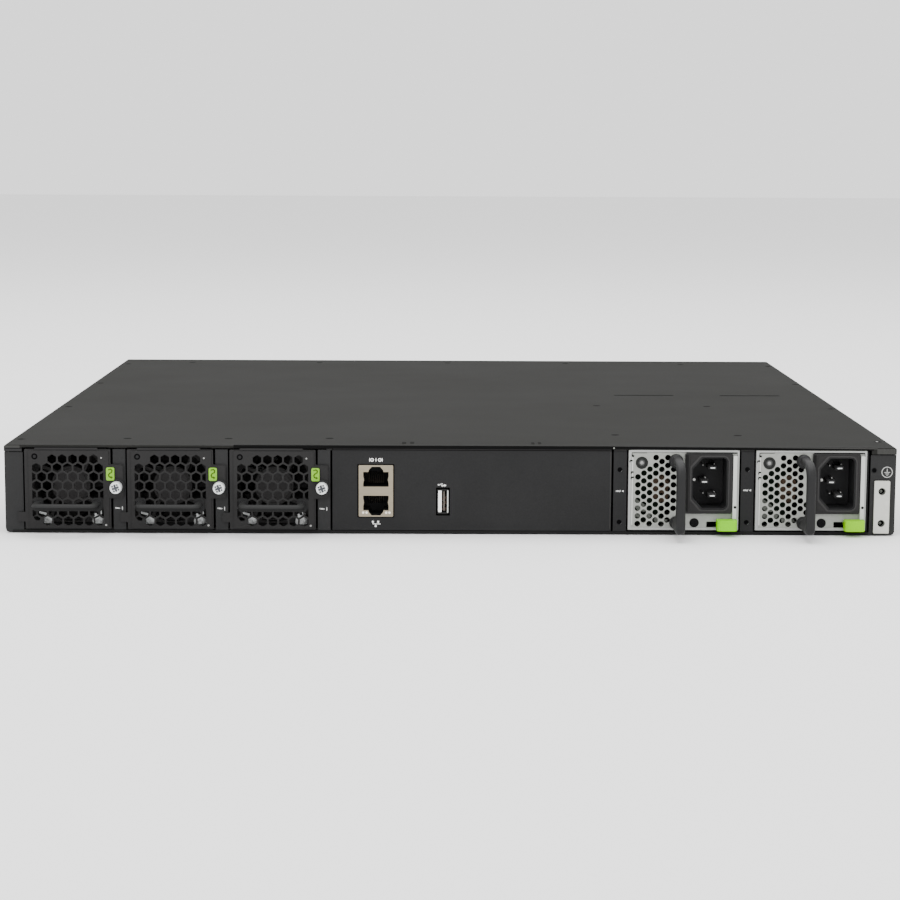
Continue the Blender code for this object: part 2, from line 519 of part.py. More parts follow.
def make_psu(k):
    x0 = PSU_LEFT[k]
    x1 = x0 + PSU_W
    z0, z1 = PSU_Z
    tag = f"psu{k + 1}_"
    mid = (x0 + x1) / 2
    at = (mid, 0.0, (z0 + z1) / 2)
    carrier = empty(tag + "module", at)
    s = PSU_SKIN
    case = prism(tag + "case", rect(x0, x1, z0, z1), -0.6, PSU_DEPTH, "Y", ZINC_STEEL, holes=[rect(x0 + s, x1 - s, z0 + s, z1 - s)])
    settle(case, at, carrier)
    cx = x0 + INLET_DX
    holes = [circle(u, v, 1.35, 6, 0.5) for u, v in psu_perforation(x0)]
    holes.append(circle(x0 + 6.5, 35.8, 3.1, 12))
    holes.append(circle(x0 + 32.8, 5.9, 2.3, 12))
    holes.append(rect(cx - 10.9, cx + 10.9, 11.2, 40.4))
    holes.append(rect(x0 + 38.9, x1 - 1.8, 3.65, 6.5))
    face = prism(tag + "face", rect(x0 + s + 0.3, x1 - s - 0.3, z0 + s + 0.3, z1 - s - 0.3), -0.3, 0.7, "Y", ZINC_STEEL, holes=holes)
    settle(face, at, carrier)
    # inlet: bezel outside the face, body through the cutout
    inlet = prism(tag + "inlet", rect(cx - 11.3, cx + 11.3, 10.7, 40.8), -2.2, -0.6, "Y", BLACK_PLASTIC)
    union(inlet, box("b", (cx - 10.5, cx + 10.5), (-1.4, 17.0), (11.6, 40.0), BLACK_PLASTIC))
    cavity = prism("c", inlet_outline(cx), -4.0, 14.5, "Y", BLACK_PLASTIC)
    slots = [box("d", (px - 2.3, px + 2.3), (13.0, 19.0), (pz - 1.3, pz + 1.3), BLACK_PLASTIC) for px, pz in inlet_pins(cx)]
    cut(inlet, cavity, *slots)
    settle(inlet, at, carrier)
    carrier_plate = box(tag + "inlet_pins", (cx - 6.5, cx + 6.5), (17.3, 18.8), (15.0, 37.0), BRASS_PIN)
    union(carrier_plate, *[box("p", (px - 2.0, px + 2.0), (3.2, 18.0), (pz - 1.0, pz + 1.0), BRASS_PIN) for px, pz in inlet_pins(cx)])
    settle(carrier_plate, at, carrier)
    # pull handle: a C seen from the side, its lower arm braced, on two foot pads
    hx = x0 + HANDLE_DX
    ring = [(-0.6, 39.3), (-16.5, 39.0), (-21.0, 37.6), (-23.9, 34.6), (-25.0, 31.0), (-25.0, 6.2), (-24.4, 4.5), (-22.8, 3.7), (-0.6, 3.9),
            (-0.6, 7.4), (-6.0, 8.6), (-13.0, 10.9), (-19.0, 13.6), (-20.8, 16.0), (-20.8, 31.0), (-19.6, 33.8), (-16.8, 35.2), (-0.6, 35.6)]
    handle = prism(tag + "handle", ring, hx - 2.3, hx + 2.3, "X", BLACK_PLASTIC)
    union(handle, box("u", (hx - 3.3, hx + 3.3), (-3.4, -0.9), (33.4, 39.8), BLACK_PLASTIC), box("l", (hx - 3.3, hx + 3.3), (-3.4, -0.9), (2.8, 9.2), BLACK_PLASTIC))
    settle(handle, at, carrier)
    # release latch: thumb tab outside, arm through the slot
    tab = prism(tag + "latch", [(x0 + 43.6, -6.8), (x1 - 0.9, -6.8), (x1 - 0.4, -6.0), (x1 - 0.4, -0.9), (x0 + 43.6, -0.9)], 2.7, 8.0, "Z", GREEN_PLASTIC)
    union(tab, box("a", (x0 + 44.4, x1 - 2.1), (-1.6, 9.0), (3.95, 6.2), GREEN_PLASTIC), box("b", (x1 - 3.4, x1 - 2.1), (8.0, 40.0), (3.95, 6.2), GREEN_PLASTIC))
    settle(tab, (x0 + 48.0, -3.5, 5.5), carrier)
    lens = prism(tag + "led", circle(x0 + 6.5, 35.8, 2.8, 12), -0.9, 5.0, "Y", LENS)
    settle(smooth(lens), at, carrier)
    fx = x0 + 21.4
    frame = fan_frame(tag + "fan_frame", (fx - 18.9, fx + 18.9), (4.0, 40.4), (26.0, 46.0), 17.4, 9.0, FAN_PLASTIC, 16, (43.4, 46.0))
    settle(frame, at, carrier)
    rotor = blades(tag + "fan_rotor", (fx, 22.2), 8.8, 16.4, 27.0, 42.4, 5, 0.8, 1.1, FAN_PLASTIC, 12)
    settle(smooth(rotor), (fx, 35.0, 22.2), carrier)
    board = box(tag + "board", (x0 + 2.4, x1 - 4.2), (52.0, 219.0), (6.5, 8.1), BOARD_GREEN)
    union(board,
          box("t", (mid - 18.0, mid + 18.0), (218.0, 232.0), (6.5, 8.1), BOARD_GREEN),
          box("x", (x0 + 10, x0 + 38), (60.0, 92.0), (7.6, 36.0), BOARD_GREEN),
          box("y", (x0 + 6, x0 + 46), (100.0, 130.0), (7.6, 34.0), BOARD_GREEN),
          box("z", (x0 + 6, x0 + 10), (138.0, 200.0), (7.6, 36.0), BOARD_GREEN),
          box("w", (x0 + 40, x0 + 44), (138.0, 200.0), (7.6, 36.0), BOARD_GREEN),
          prism("v", circle(x0 + 25, 160.0, 9.5, 12), 7.6, 36.0, "Z", BOARD_GREEN))
    settle(board, at, carrier)


def inlet_pins(cx):
    return [(cx + 2.0, INLET_Z + 7.0), (cx - 2.0, INLET_Z), (cx + 2.0, INLET_Z - 7.0)]


make_chassis_base()
make_top_cover()
make_front_panel()
make_io_panel()
make_fan_cage()
make_psu_cage()
make_ground_pad()
make_boards()
make_io_ports()
make_cages()
for _k in range(FAN_COUNT):
    make_fan_module(_k)
for _k in range(2):
    make_psu(_k)
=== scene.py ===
import math

import bpy
import bmesh
from mathutils import Matrix, Vector
from mathutils.geometry import tessellate_polygon


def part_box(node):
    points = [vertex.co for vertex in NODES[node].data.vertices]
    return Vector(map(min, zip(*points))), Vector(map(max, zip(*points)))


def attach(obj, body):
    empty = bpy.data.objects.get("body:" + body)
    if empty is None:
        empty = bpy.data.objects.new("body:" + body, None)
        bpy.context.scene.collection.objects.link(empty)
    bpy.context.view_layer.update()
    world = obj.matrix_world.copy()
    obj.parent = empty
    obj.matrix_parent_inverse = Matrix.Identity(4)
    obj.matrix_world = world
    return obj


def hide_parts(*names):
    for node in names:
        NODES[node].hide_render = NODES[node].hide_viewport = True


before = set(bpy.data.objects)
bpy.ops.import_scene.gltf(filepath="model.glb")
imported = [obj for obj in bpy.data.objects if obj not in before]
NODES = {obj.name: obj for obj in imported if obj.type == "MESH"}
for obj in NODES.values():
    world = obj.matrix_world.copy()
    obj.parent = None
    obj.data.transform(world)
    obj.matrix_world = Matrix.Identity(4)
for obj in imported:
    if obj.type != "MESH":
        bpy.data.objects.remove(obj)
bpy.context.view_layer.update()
MM = 0.001
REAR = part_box("io_panel")[0].y          # the rear plane, y = 0 for every helper below
DEEP = (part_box("front_panel")[1].y - REAR) / MM


def mm_box(node):
    """A node's box in millimetres from the rear plane: x0, x1, y0, y1, z0, z1."""
    a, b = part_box(node)
    return a.x / MM, b.x / MM, (a.y - REAR) / MM, (b.y - REAR) / MM, a.z / MM, b.z / MM


# =========================================================================
# mesh helpers, in millimetres: x right, y from the rear plane inwards, z up
# =========================================================================
AXES = {"X": lambda u, v, w: (w, u, v), "Y": lambda u, v, w: (u, w, v), "Z": lambda u, v, w: (u, v, w)}


def rect(u0, u1, v0, v1):
    return [(u0, v0), (u1, v0), (u1, v1), (u0, v1)]


def circle(cu, cv, r, n=24, turn=0.0):
    return [(cu + r * math.cos(2 * math.pi * (i + turn) / n), cv + r * math.sin(2 * math.pi * (i + turn) / n)) for i in range(n)]


def rounded(points, radii, n=4):
    """A polygon with its corners rounded; radii is one number or one per corner."""
    k = len(points)
    if not isinstance(radii, (list, tuple)):
        radii = [radii] * k
    out = []
    for i in range(k):
        p, a, b = Vector(points[i]), Vector(points[i - 1]), Vector(points[(i + 1) % k])
        r = radii[i]
        da, db = (a - p).normalized(), (b - p).normalized()
        dot = max(-1.0, min(1.0, da.dot(db)))
        half = math.acos(dot) / 2
        if r <= 0 or half < 0.05 or half > math.pi / 2 - 0.03:
            out.append(tuple(p))
            continue
        reach = min(r / math.tan(half), (a - p).length * 0.49, (b - p).length * 0.49)
        rr = reach * math.tan(half)
        centre = p + (da + db).normalized() * (rr / math.sin(half))
        s, e = p + da * reach - centre, p + db * reach - centre
        a0, a1 = math.atan2(s.y, s.x), math.atan2(e.y, e.x)
        d = (a1 - a0 + math.pi) % (2 * math.pi) - math.pi
        for j in range(n + 1):
            t = a0 + d * j / n
            out.append((centre.x + rr * math.cos(t), centre.y + rr * math.sin(t)))
    return out


def rrect(u0, u1, v0, v1, r, n=4):
    return rounded(rect(u0, u1, v0, v1), r, n)


def fill(loops):
    return [tuple(t) for t in tessellate_polygon([[Vector((u, v, 0.0)) for u, v in loop] for loop in loops])]


def clipped(poly, u0, u1, v0, v1):
    """A convex polygon cut to a rectangle."""
    for axis, limit, sign in ((0, u0, 1), (0, u1, -1), (1, v0, 1), (1, v1, -1)):
        out = []
        for i, p in enumerate(poly):
            q = poly[i - 1]
            pin, qin = sign * (p[axis] - limit) >= 0, sign * (q[axis] - limit) >= 0
            if pin != qin:
                t = (limit - q[axis]) / (p[axis] - q[axis])
                out.append((q[0] + t * (p[0] - q[0]), q[1] + t * (p[1] - q[1])))
            if pin:
                out.append(p)
        poly = out
        if not poly:
            return []
    return poly


def area(poly):
    return abs(sum(poly[i - 1][0] * p[1] - p[0] * poly[i - 1][1] for i, p in enumerate(poly))) / 2


class Shape:
    """Collects closed shapes, then becomes one object."""

    def __init__(self):
        self.v, self.f, self.m = [], [], []
        self.now = 0

    def use(self, index):
        self.now = index
        return self

    def add(self, points, faces):
        k = len(self.v)
        self.v += [tuple(p) for p in points]
        self.f += [tuple(i + k for i in f) for f in faces]
        self.m += [self.now] * len(faces)
        return self

    def prism(self, outline, lo, hi, axis="Y", holes=(), lift=None):
        """Straight extrusion with through holes. lift(u, v) adds to the near end's height."""
        to3 = AXES[axis]
        loops = [list(outline)] + [list(h) for h in holes]
        flat = [p for loop in loops for p in loop]
        n = len(flat)
        points = [to3(u, v, lo + (lift(u, v) if lift else 0.0)) for u, v in flat] + [to3(u, v, hi) for u, v in flat]
        caps = fill(loops)
        faces = caps + [(a + n, c + n, b + n) for a, b, c in caps]
        start = 0
        for loop in loops:
            k = len(loop)
            faces += [(start + i, start + (i + 1) % k, start + (i + 1) % k + n, start + i + n) for i in range(k)]
            start += k
        return self.add(points, faces)

    def box(self, x0, x1, y0, y1, z0, z1):
        return self.prism(rect(x0, x1, y0, y1), z0, z1, "Z")

    def pocketed(self, outline, pockets, mouth, floor, back, axis="Y"):
        to3 = AXES[axis]
        loops = [list(outline)] + [list(h) for h in pockets]
        flat = [p for loop in loops for p in loop]
        n0, n = len(outline), len(flat)
        points = [to3(u, v, mouth) for u, v in flat] + [to3(u, v, back) for u, v in outline] + [to3(u, v, floor) for u, v in flat[n0:]]
        faces = fill(loops) + [tuple(n + i for i in t) for t in fill([outline])]
        faces += [(i, (i + 1) % n0, n + (i + 1) % n0, n + i) for i in range(n0)]
        start, base = n0, n + n0
        for loop in loops[1:]:
            k = len(loop)
            for i in range(k):
                a, b = start + i, start + (i + 1) % k
                faces.append((a, b, base + b - n0, base + a - n0))
            faces += [tuple(base + start - n0 + i for i in t) for t in fill([loop])]
            start += k
        return self.add(points, faces)

    def lathe(self, profile, at, axis="Y", n=32, radius=None, loop=False):
        """Turned shape: profile is (radius, height) from one end to the other; loop closes it into a ring."""
        to3 = AXES[axis]
        points, rings = [], []
        for r, h in profile:
            if r <= 1e-6:
                rings.append([len(points)])
                points.append(to3(at[0], at[1], h))
            else:
                ring = []
                for i in range(n):
                    t = 2 * math.pi * i / n
                    q = radius(t, r, h) if radius else r
                    ring.append(len(points))
                    points.append(to3(at[0] + q * math.cos(t), at[1] + q * math.sin(t), h))
                rings.append(ring)
        faces = []
        for a, b in zip(rings, rings[1:] + rings[:1] if loop else rings[1:]):
            if len(a) == 1 and len(b) == 1:
                continue
            for i in range(n):
                j = (i + 1) % n
                if len(a) == 1:
                    faces.append((a[0], b[i], b[j]))
                elif len(b) == 1:
                    faces.append((a[i], a[j], b[0]))
                else:
                    faces.append((a[i], a[j], b[j], b[i]))
        if len(rings[0]) > 1 and not loop:
            faces.append(tuple(rings[0]))
        if len(rings[-1]) > 1 and not loop:
            faces.append(tuple(reversed(rings[-1])))
        return self.add(points, faces)

    def sweep(self, path, section, up=(0, 0, 1), closed=False):
        """A section of (side, up) points carried along a path of 3-D points."""
        path = [Vector(p) for p in path]
        k, n = len(section), len(path)
        points, faces = [], []
        for i, p in enumerate(path):
            a = path[i - 1] if i > 0 or closed else p
            b = path[(i + 1) % n] if i < n - 1 or closed else p
            t = (b - a).normalized()
            side = t.cross(Vector(up)).normalized()
            top = side.cross(t).normalized()
            points += [p + side * s + top * u for s, u in section]
        for i in range(n if closed else n - 1):
            j = (i + 1) % n
            for q in range(k):
                w = (q + 1) % k
                faces.append((i * k + q, i * k + w, j * k + w, j * k + q))
        if not closed:
            faces.append(tuple(range(k)))
            faces.append(tuple((n - 1) * k + q for q in reversed(range(k))))
        return self.add(points, faces)

    def stroke(self, line, width, y0, y1, axis="Y", n=8):
        """A drawn line with round ends, as thin raised ink."""
        for a, b in zip(line, line[1:]):
            a, b = Vector(a), Vector(b)
            d = (b - a).normalized() * width / 2
            s = Vector((-d.y, d.x))
            self.prism([tuple(a + s), tuple(a - s), tuple(b - s), tuple(b + s)], y0, y1, axis)
        for p in line:
            self.prism(circle(p[0], p[1], width / 2, n), y0, y1, axis)
        return self

    def build(self, name, mats, body, slot=None, bevel=0.0, seg=2, angle=35.0, smooth=None, replaces=()):
        mesh = bpy.data.meshes.new(name)
        mesh.from_pydata([(x * MM, y * MM + REAR, z * MM) for x, y, z in self.v], [], self.f)
        mats = mats if isinstance(mats, (list, tuple)) else [mats]
        for m in mats:
            mesh.materials.append(m)
        for poly, index in zip(mesh.polygons, self.m):
            poly.material_index = index
        bm = bmesh.new()
        bm.from_mesh(mesh)
        bmesh.ops.remove_doubles(bm, verts=bm.verts, dist=1e-8)
        bmesh.ops.recalc_face_normals(bm, faces=bm.faces)
        bm.to_mesh(mesh)
        bm.free()
        obj = bpy.data.objects.new(name, mesh)
        bpy.context.scene.collection.objects.link(obj)
        if bevel:
            add_bevel(obj, bevel, seg, angle)
        if smooth:
            mesh.shade_smooth()
            mesh.set_sharp_from_angle(angle=math.radians(smooth))
        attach(obj, body)
        if replaces:
            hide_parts(*replaces)
        return obj


def add_bevel(obj, width, seg=2, angle=35.0):
    mod = obj.modifiers.new("Bevel", "BEVEL")
    mod.width = width * MM
    mod.segments = seg
    mod.limit_method = "ANGLE"
    mod.angle_limit = math.radians(angle)
    mod.harden_normals = False
    mod.use_clamp_overlap = True
    return mod


# =========================================================================
# materials
# =========================================================================
def scaled(c, k):
    return tuple(min(1.0, x * k) for x in c[:3]) + (1.0,)


def surface(name, base, rough=0.5, metal=0.0, mottle=0.1, big=35.0, fine=1400.0, rough_vary=0.06, bump=0.12, bump_scale=1600.0, depth=0.00004,
            stretch=(1, 1, 1), coat=0.0, specular=0.5, tint=None, speck=0.0, transmission=0.0, glow=None):
    """Principled surface whose colour, roughness and relief all vary a little across it."""
    mat = bpy.data.materials.new(name)
    mat.use_nodes = True
    nt = mat.node_tree
    sh = nt.nodes["Principled BSDF"]
    new, link = nt.nodes.new, nt.links.new
    tc = new("ShaderNodeTexCoord")
    mp = new("ShaderNodeMapping")
    mp.inputs["Scale"].default_value = stretch
    link(tc.outputs["Object"], mp.inputs["Vector"])
    n1 = new("ShaderNodeTexNoise")
    n1.inputs["Scale"].default_value = big
    n1.inputs["Detail"].default_value = 4.0
    n2 = new("ShaderNodeTexNoise")
    n2.inputs["Scale"].default_value = fine
    n2.inputs["Detail"].default_value = 2.0
    for n in (n1, n2):
        link(mp.outputs["Vector"], n.inputs["Vector"])
    mix = new("ShaderNodeMath")
    mix.operation = "MULTIPLY_ADD"
    link(n1.outputs["Fac"], mix.inputs[0])
    mix.inputs[1].default_value = 0.55
    half = new("ShaderNodeMath")
    half.operation = "MULTIPLY"
    link(n2.outputs["Fac"], half.inputs[0])
    half.inputs[1].default_value = 0.45
    link(half.outputs[0], mix.inputs[2])
    ramp = new("ShaderNodeValToRGB")
    ramp.color_ramp.elements[0].position = 0.33
    ramp.color_ramp.elements[0].color = scaled(base, 1 - mottle)
    ramp.color_ramp.elements[1].position = 0.67
    ramp.color_ramp.elements[1].color = scaled(tint or base, 1 + mottle)
    link(mix.outputs[0], ramp.inputs["Fac"])
    colour = ramp.outputs["Color"]
    if speck:
        vo = new("ShaderNodeTexVoronoi")
        vo.inputs["Scale"].default_value = 420.0
        link(tc.outputs["Object"], vo.inputs["Vector"])
        bright = new("ShaderNodeMapRange")
        link(vo.outputs["Color"], bright.inputs["Value"])
        bright.inputs["To Min"].default_value = 1.0 - speck
        bright.inputs["To Max"].default_value = 1.0 + speck
        mul = new("ShaderNodeVectorMath")
        mul.operation = "SCALE"
        link(colour, mul.inputs[0])
        link(bright.outputs["Result"], mul.inputs["Scale"])
        colour = mul.outputs["Vector"]
    link(colour, sh.inputs["Base Color"])
    rr = new("ShaderNodeMapRange")
    link(mix.outputs[0], rr.inputs["Value"])
    rr.inputs["From Min"].default_value = 0.3
    rr.inputs["From Max"].default_value = 0.7
    rr.inputs["To Min"].default_value = max(0.02, rough - rough_vary)
    rr.inputs["To Max"].default_value = min(1.0, rough + rough_vary)
    link(rr.outputs["Result"], sh.inputs["Roughness"])
    if bump:
        n3 = new("ShaderNodeTexNoise")
        n3.inputs["Scale"].default_value = bump_scale
        n3.inputs["Detail"].default_value = 3.0
        link(mp.outputs["Vector"], n3.inputs["Vector"])
        bp = new("ShaderNodeBump")
        bp.inputs["Strength"].default_value = bump
        bp.inputs["Distance"].default_value = depth
        link(n3.outputs["Fac"], bp.inputs["Height"])
        link(bp.outputs["Normal"], sh.inputs["Normal"])
    sh.inputs["Metallic"].default_value = metal
    sh.inputs["Specular IOR Level"].default_value = specular
    if coat:
        sh.inputs["Coat Weight"].default_value = coat
        sh.inputs["Coat Roughness"].default_value = 0.15
    if transmission:
        sh.inputs["Transmission Weight"].default_value = transmission
    if glow:
        sh.inputs["Emission Color"].default_value = (*glow[:3], 1.0)
        sh.inputs["Emission Strength"].default_value = glow[3]
    return mat


BLACK = surface("powder_coat_black", (0.0185, 0.0185, 0.0188), 0.62, mottle=0.12, bump=0.3, bump_scale=1300, depth=0.00006, specular=0.06)
FACE = surface("powder_coat_black_face", (0.021, 0.0205, 0.0205), 0.62, mottle=0.12, bump=0.3, bump_scale=1300, depth=0.00006, specular=0.08)
RAIL = surface("powder_coat_black_rail", (0.0175, 0.0175, 0.0175), 0.55, mottle=0.1, bump=0.25, bump_scale=1300, depth=0.00005, specular=0.12)
COVER = surface("powder_coat_grey", (0.0163, 0.0163, 0.0152), 0.7, mottle=0.09, big=14, bump=0.3, bump_scale=1100, depth=0.00006, specular=0.03)
RIM = surface("zinc_rolled_edge", (0.31, 0.315, 0.305), 0.42, metal=0.1, mottle=0.04, bump=0.1, bump_scale=900, specular=0.35)
FLANGE = surface("powder_coat_black_flange", (0.0235, 0.0235, 0.0237), 0.62, mottle=0.12, bump=0.3, bump_scale=1300, depth=0.00006, specular=0.07)
COVER_EDGE_PAINTED_HIGHLIGHT = surface("powder_coat_grey_painted_edge_highlight", (0.040, 0.040, 0.038), 0.65, mottle=0.15, bump=0.2, specular=0.05)
FILTER_BOARD = surface("filter_board", (0.007, 0.014, 0.008), 0.6, mottle=0.3, big=260, bump=0.2, specular=0.05)
BEZEL_LIP_PAINTED_HIGHLIGHT = surface("inlet_moulding_lip_painted_highlight", (0.030, 0.029, 0.029), 0.45, mottle=0.1, bump=0.1, specular=0.15)
PRESSED = surface("pressed_shade", (0.0085, 0.0085, 0.008), 0.6, mottle=0.1, bump=0.1, specular=0.03)
ZINC = surface("zinc_plate", (0.268, 0.275, 0.255), 0.5, metal=0.1, mottle=0.06, speck=0.05, bump=0.15, bump_scale=900, specular=0.3)
ZINC_PAINTED_HIGHLIGHT = surface("zinc_plate_painted_highlight", (0.50, 0.51, 0.48), 0.42, metal=0.1, mottle=0.05, bump=0.1, bump_scale=900, specular=0.35)
ZINC_IN = surface("zinc_plate_inside", (0.20, 0.21, 0.19), 0.5, metal=0.3, mottle=0.1, speck=0.08, specular=0.2)
NICKEL = surface("nickel_plate", (0.62, 0.63, 0.62), 0.3, metal=0.8, mottle=0.06, rough_vary=0.08, bump=0.1, bump_scale=700)
BRIGHT_PLATE_AND_GLINT = surface("bright_plate_and_painted_glint", (0.72, 0.735, 0.73), 0.36, metal=0.3, mottle=0.03, bump=0.06, bump_scale=700)
SHIELD = surface("jack_shield", (0.25, 0.215, 0.155), 0.5, metal=0.1, mottle=0.08, stretch=(1, 1, 6), big=60, bump=0.12, specular=0.3)
DARK_PLASTIC = surface("black_moulding", (0.012, 0.012, 0.0125), 0.5, mottle=0.12, bump=0.2, bump_scale=1800, specular=0.12)
BEZEL = surface("inlet_moulding", (0.0155, 0.0148, 0.0148), 0.5, mottle=0.1, bump=0.2, bump_scale=1800, specular=0.15)
BEZEL_PAINTED_HANDLE_SHADOW = surface("inlet_moulding_painted_handle_shadow", (0.0085, 0.0083, 0.0083), 0.55, mottle=0.1, bump=0.2, specular=0.06)
CAVITY = surface("inlet_moulding_inside", (0.018, 0.018, 0.0185), 0.5, mottle=0.12, bump=0.2, bump_scale=1800, specular=0.1)
HANDLE_PLASTIC = surface("handle_moulding", (0.0125, 0.0125, 0.0128), 0.48, mottle=0.1, bump=0.35, bump_scale=1500, depth=0.00007, specular=0.16)
FAN_PLASTIC = surface("fan_moulding", (0.027, 0.026, 0.0258), 0.6, mottle=0.1, bump=0.2, specular=0.08)
HUB = surface("fan_hub_label", (0.032, 0.0305, 0.0305), 0.6, mottle=0.08, bump=0.1, specular=0.08)
LIME = surface("lime_touchpoint", (0.17, 0.56, 0.0), 0.45, mottle=0.04, bump=0.15, bump_scale=1700, tint=(0.20, 0.60, 0.0), specular=0.06)
LIME_WARM = surface("lime_touchpoint_warm", (0.20, 0.52, 0.0), 0.45, mottle=0.04, bump=0.15, bump_scale=1700, tint=(0.24, 0.56, 0.0), specular=0.06)
TAG = surface("lime_tag", (0.20, 0.44, 0.035), 0.5, mottle=0.05, bump=0.1, specular=0.05)
TAG_RELIEF_PAINTED_SHADE = surface("lime_tag_relief_painted_shade", (0.075, 0.16, 0.012), 0.55, mottle=0.05, bump=0.1, specular=0.05)
BOARD = surface("solder_mask", (0.012, 0.036, 0.018), 0.45, mottle=0.25, big=220, fine=2400, bump=0.3, bump_scale=500, depth=0.00008, coat=0.15, specular=0.2)
ALU = surface("extruded_aluminium", (0.52, 0.52, 0.52), 0.42, metal=0.8, mottle=0.08, stretch=(8, 1, 1), bump=0.15)
PIN = surface("pin_plate", (0.74, 0.71, 0.62), 0.24, metal=0.9, mottle=0.05, bump=0.05)
BLADE = surface("blade_shade", (0.05, 0.05, 0.05), 0.5, mottle=0.08, bump=0.05, specular=0.1)
DULL_PAINTED_GLINT = surface("dull_painted_glint", (0.34, 0.34, 0.33), 0.5, mottle=0.1, bump=0.05, specular=0.2)
GOLD = surface("gold_contact", (0.62, 0.42, 0.15), 0.35, metal=0.9, mottle=0.05, bump=0.05)
RAIL_PAINTED_SHADE = surface("powder_coat_black_painted_underside_shade", (0.0125, 0.0125, 0.0125), 0.6, mottle=0.1, bump=0.25, bump_scale=1300, depth=0.00005, specular=0.04)
COPPER = surface("coil_wire", (0.070, 0.045, 0.030), 0.5, mottle=0.25, big=500, bump=0.3, specular=0.1)
FOIL = surface("filter_bracket", (0.17, 0.18, 0.16), 0.5, mottle=0.12, bump=0.1, specular=0.2)
INK = surface("white_ink", (0.95, 0.95, 0.93), 0.6, mottle=0.03, bump=0.05)
INK_SOFT = surface("white_ink_worn", (0.62, 0.62, 0.61), 0.6, mottle=0.05, bump=0.05, specular=0.1)
LENS = surface("clear_lens", (0.22, 0.22, 0.215), 0.2, mottle=0.05, bump=0.05, specular=0.5, coat=0.3)
LENS_EDGE_PAINTED_SHADE = surface("clear_lens_painted_edge_shade", (0.045, 0.047, 0.045), 0.35, mottle=0.05, bump=0.05, specular=0.3)
INK_DIM = surface("grey_ink", (0.42, 0.42, 0.41), 0.6, mottle=0.03, bump=0.05, specular=0.1)
CONTACT_DIM = surface("contact_shade", (0.030, 0.026, 0.020), 0.5, mottle=0.1, bump=0.05, specular=0.1)
GAP_PAINTED_SHADOW = surface("hem_shadow", (0.0045, 0.0045, 0.0045), 0.7, mottle=0.1, bump=0.1, specular=0.02)
LIP = surface("base_lip_shade", (0.0135, 0.0135, 0.0135), 0.6, mottle=0.1, bump=0.1, specular=0.03)
RING = surface("lens_bezel", (0.011, 0.012, 0.011), 0.5, mottle=0.1, specular=0.15)
VOID = surface("deep_shadow", (0.002, 0.002, 0.0022), 0.8, mottle=0.1, bump=0.1, specular=0.02)
SLOT_GREY = surface("recess_shade", (0.062, 0.066, 0.074), 0.6, mottle=0.1, bump=0.05, specular=0.1)
AMBER = surface("led_diffuser", (0.78, 0.77, 0.66), 0.3, mottle=0.05, bump=0.05, coat=0.4)
CHIP = surface("epoxy_package", (0.010, 0.010, 0.0105), 0.55, mottle=0.12, specular=0.1)
RIVET = surface("rivet_grey", (0.045, 0.045, 0.043), 0.5, mottle=0.1, specular=0.15)
BLACK_SCREW = surface("black_oxide_screw", (0.0045, 0.0045, 0.005), 0.5, mottle=0.1, specular=0.05)
USB_DARK = surface("socket_shade", (0.0145, 0.0145, 0.0145), 0.6, mottle=0.1, specular=0.08)
WHITE_PLASTIC = surface("natural_nylon", (0.55, 0.53, 0.47), 0.5, mottle=0.06)
YELLOW_TAPE = surface("transformer_tape", (0.40, 0.26, 0.03), 0.4, mottle=0.06, coat=0.2)
BLUE = surface("capacitor_sleeve", (0.014, 0.02, 0.05), 0.35, mottle=0.08, coat=0.2)


def keep(node, mat, bevel=0.0, seg=2, angle=35.0, smooth=None):
    """A CAD node that stays visible, with its finished material and softened edges."""
    obj = NODES[node]
    obj.data.materials.clear()
    obj.data.materials.append(mat)
    if bevel:
        add_bevel(obj, bevel, seg, angle)
    if smooth:
        obj.data.shade_smooth()
        obj.data.set_sharp_from_angle(angle=math.radians(smooth))
    return obj


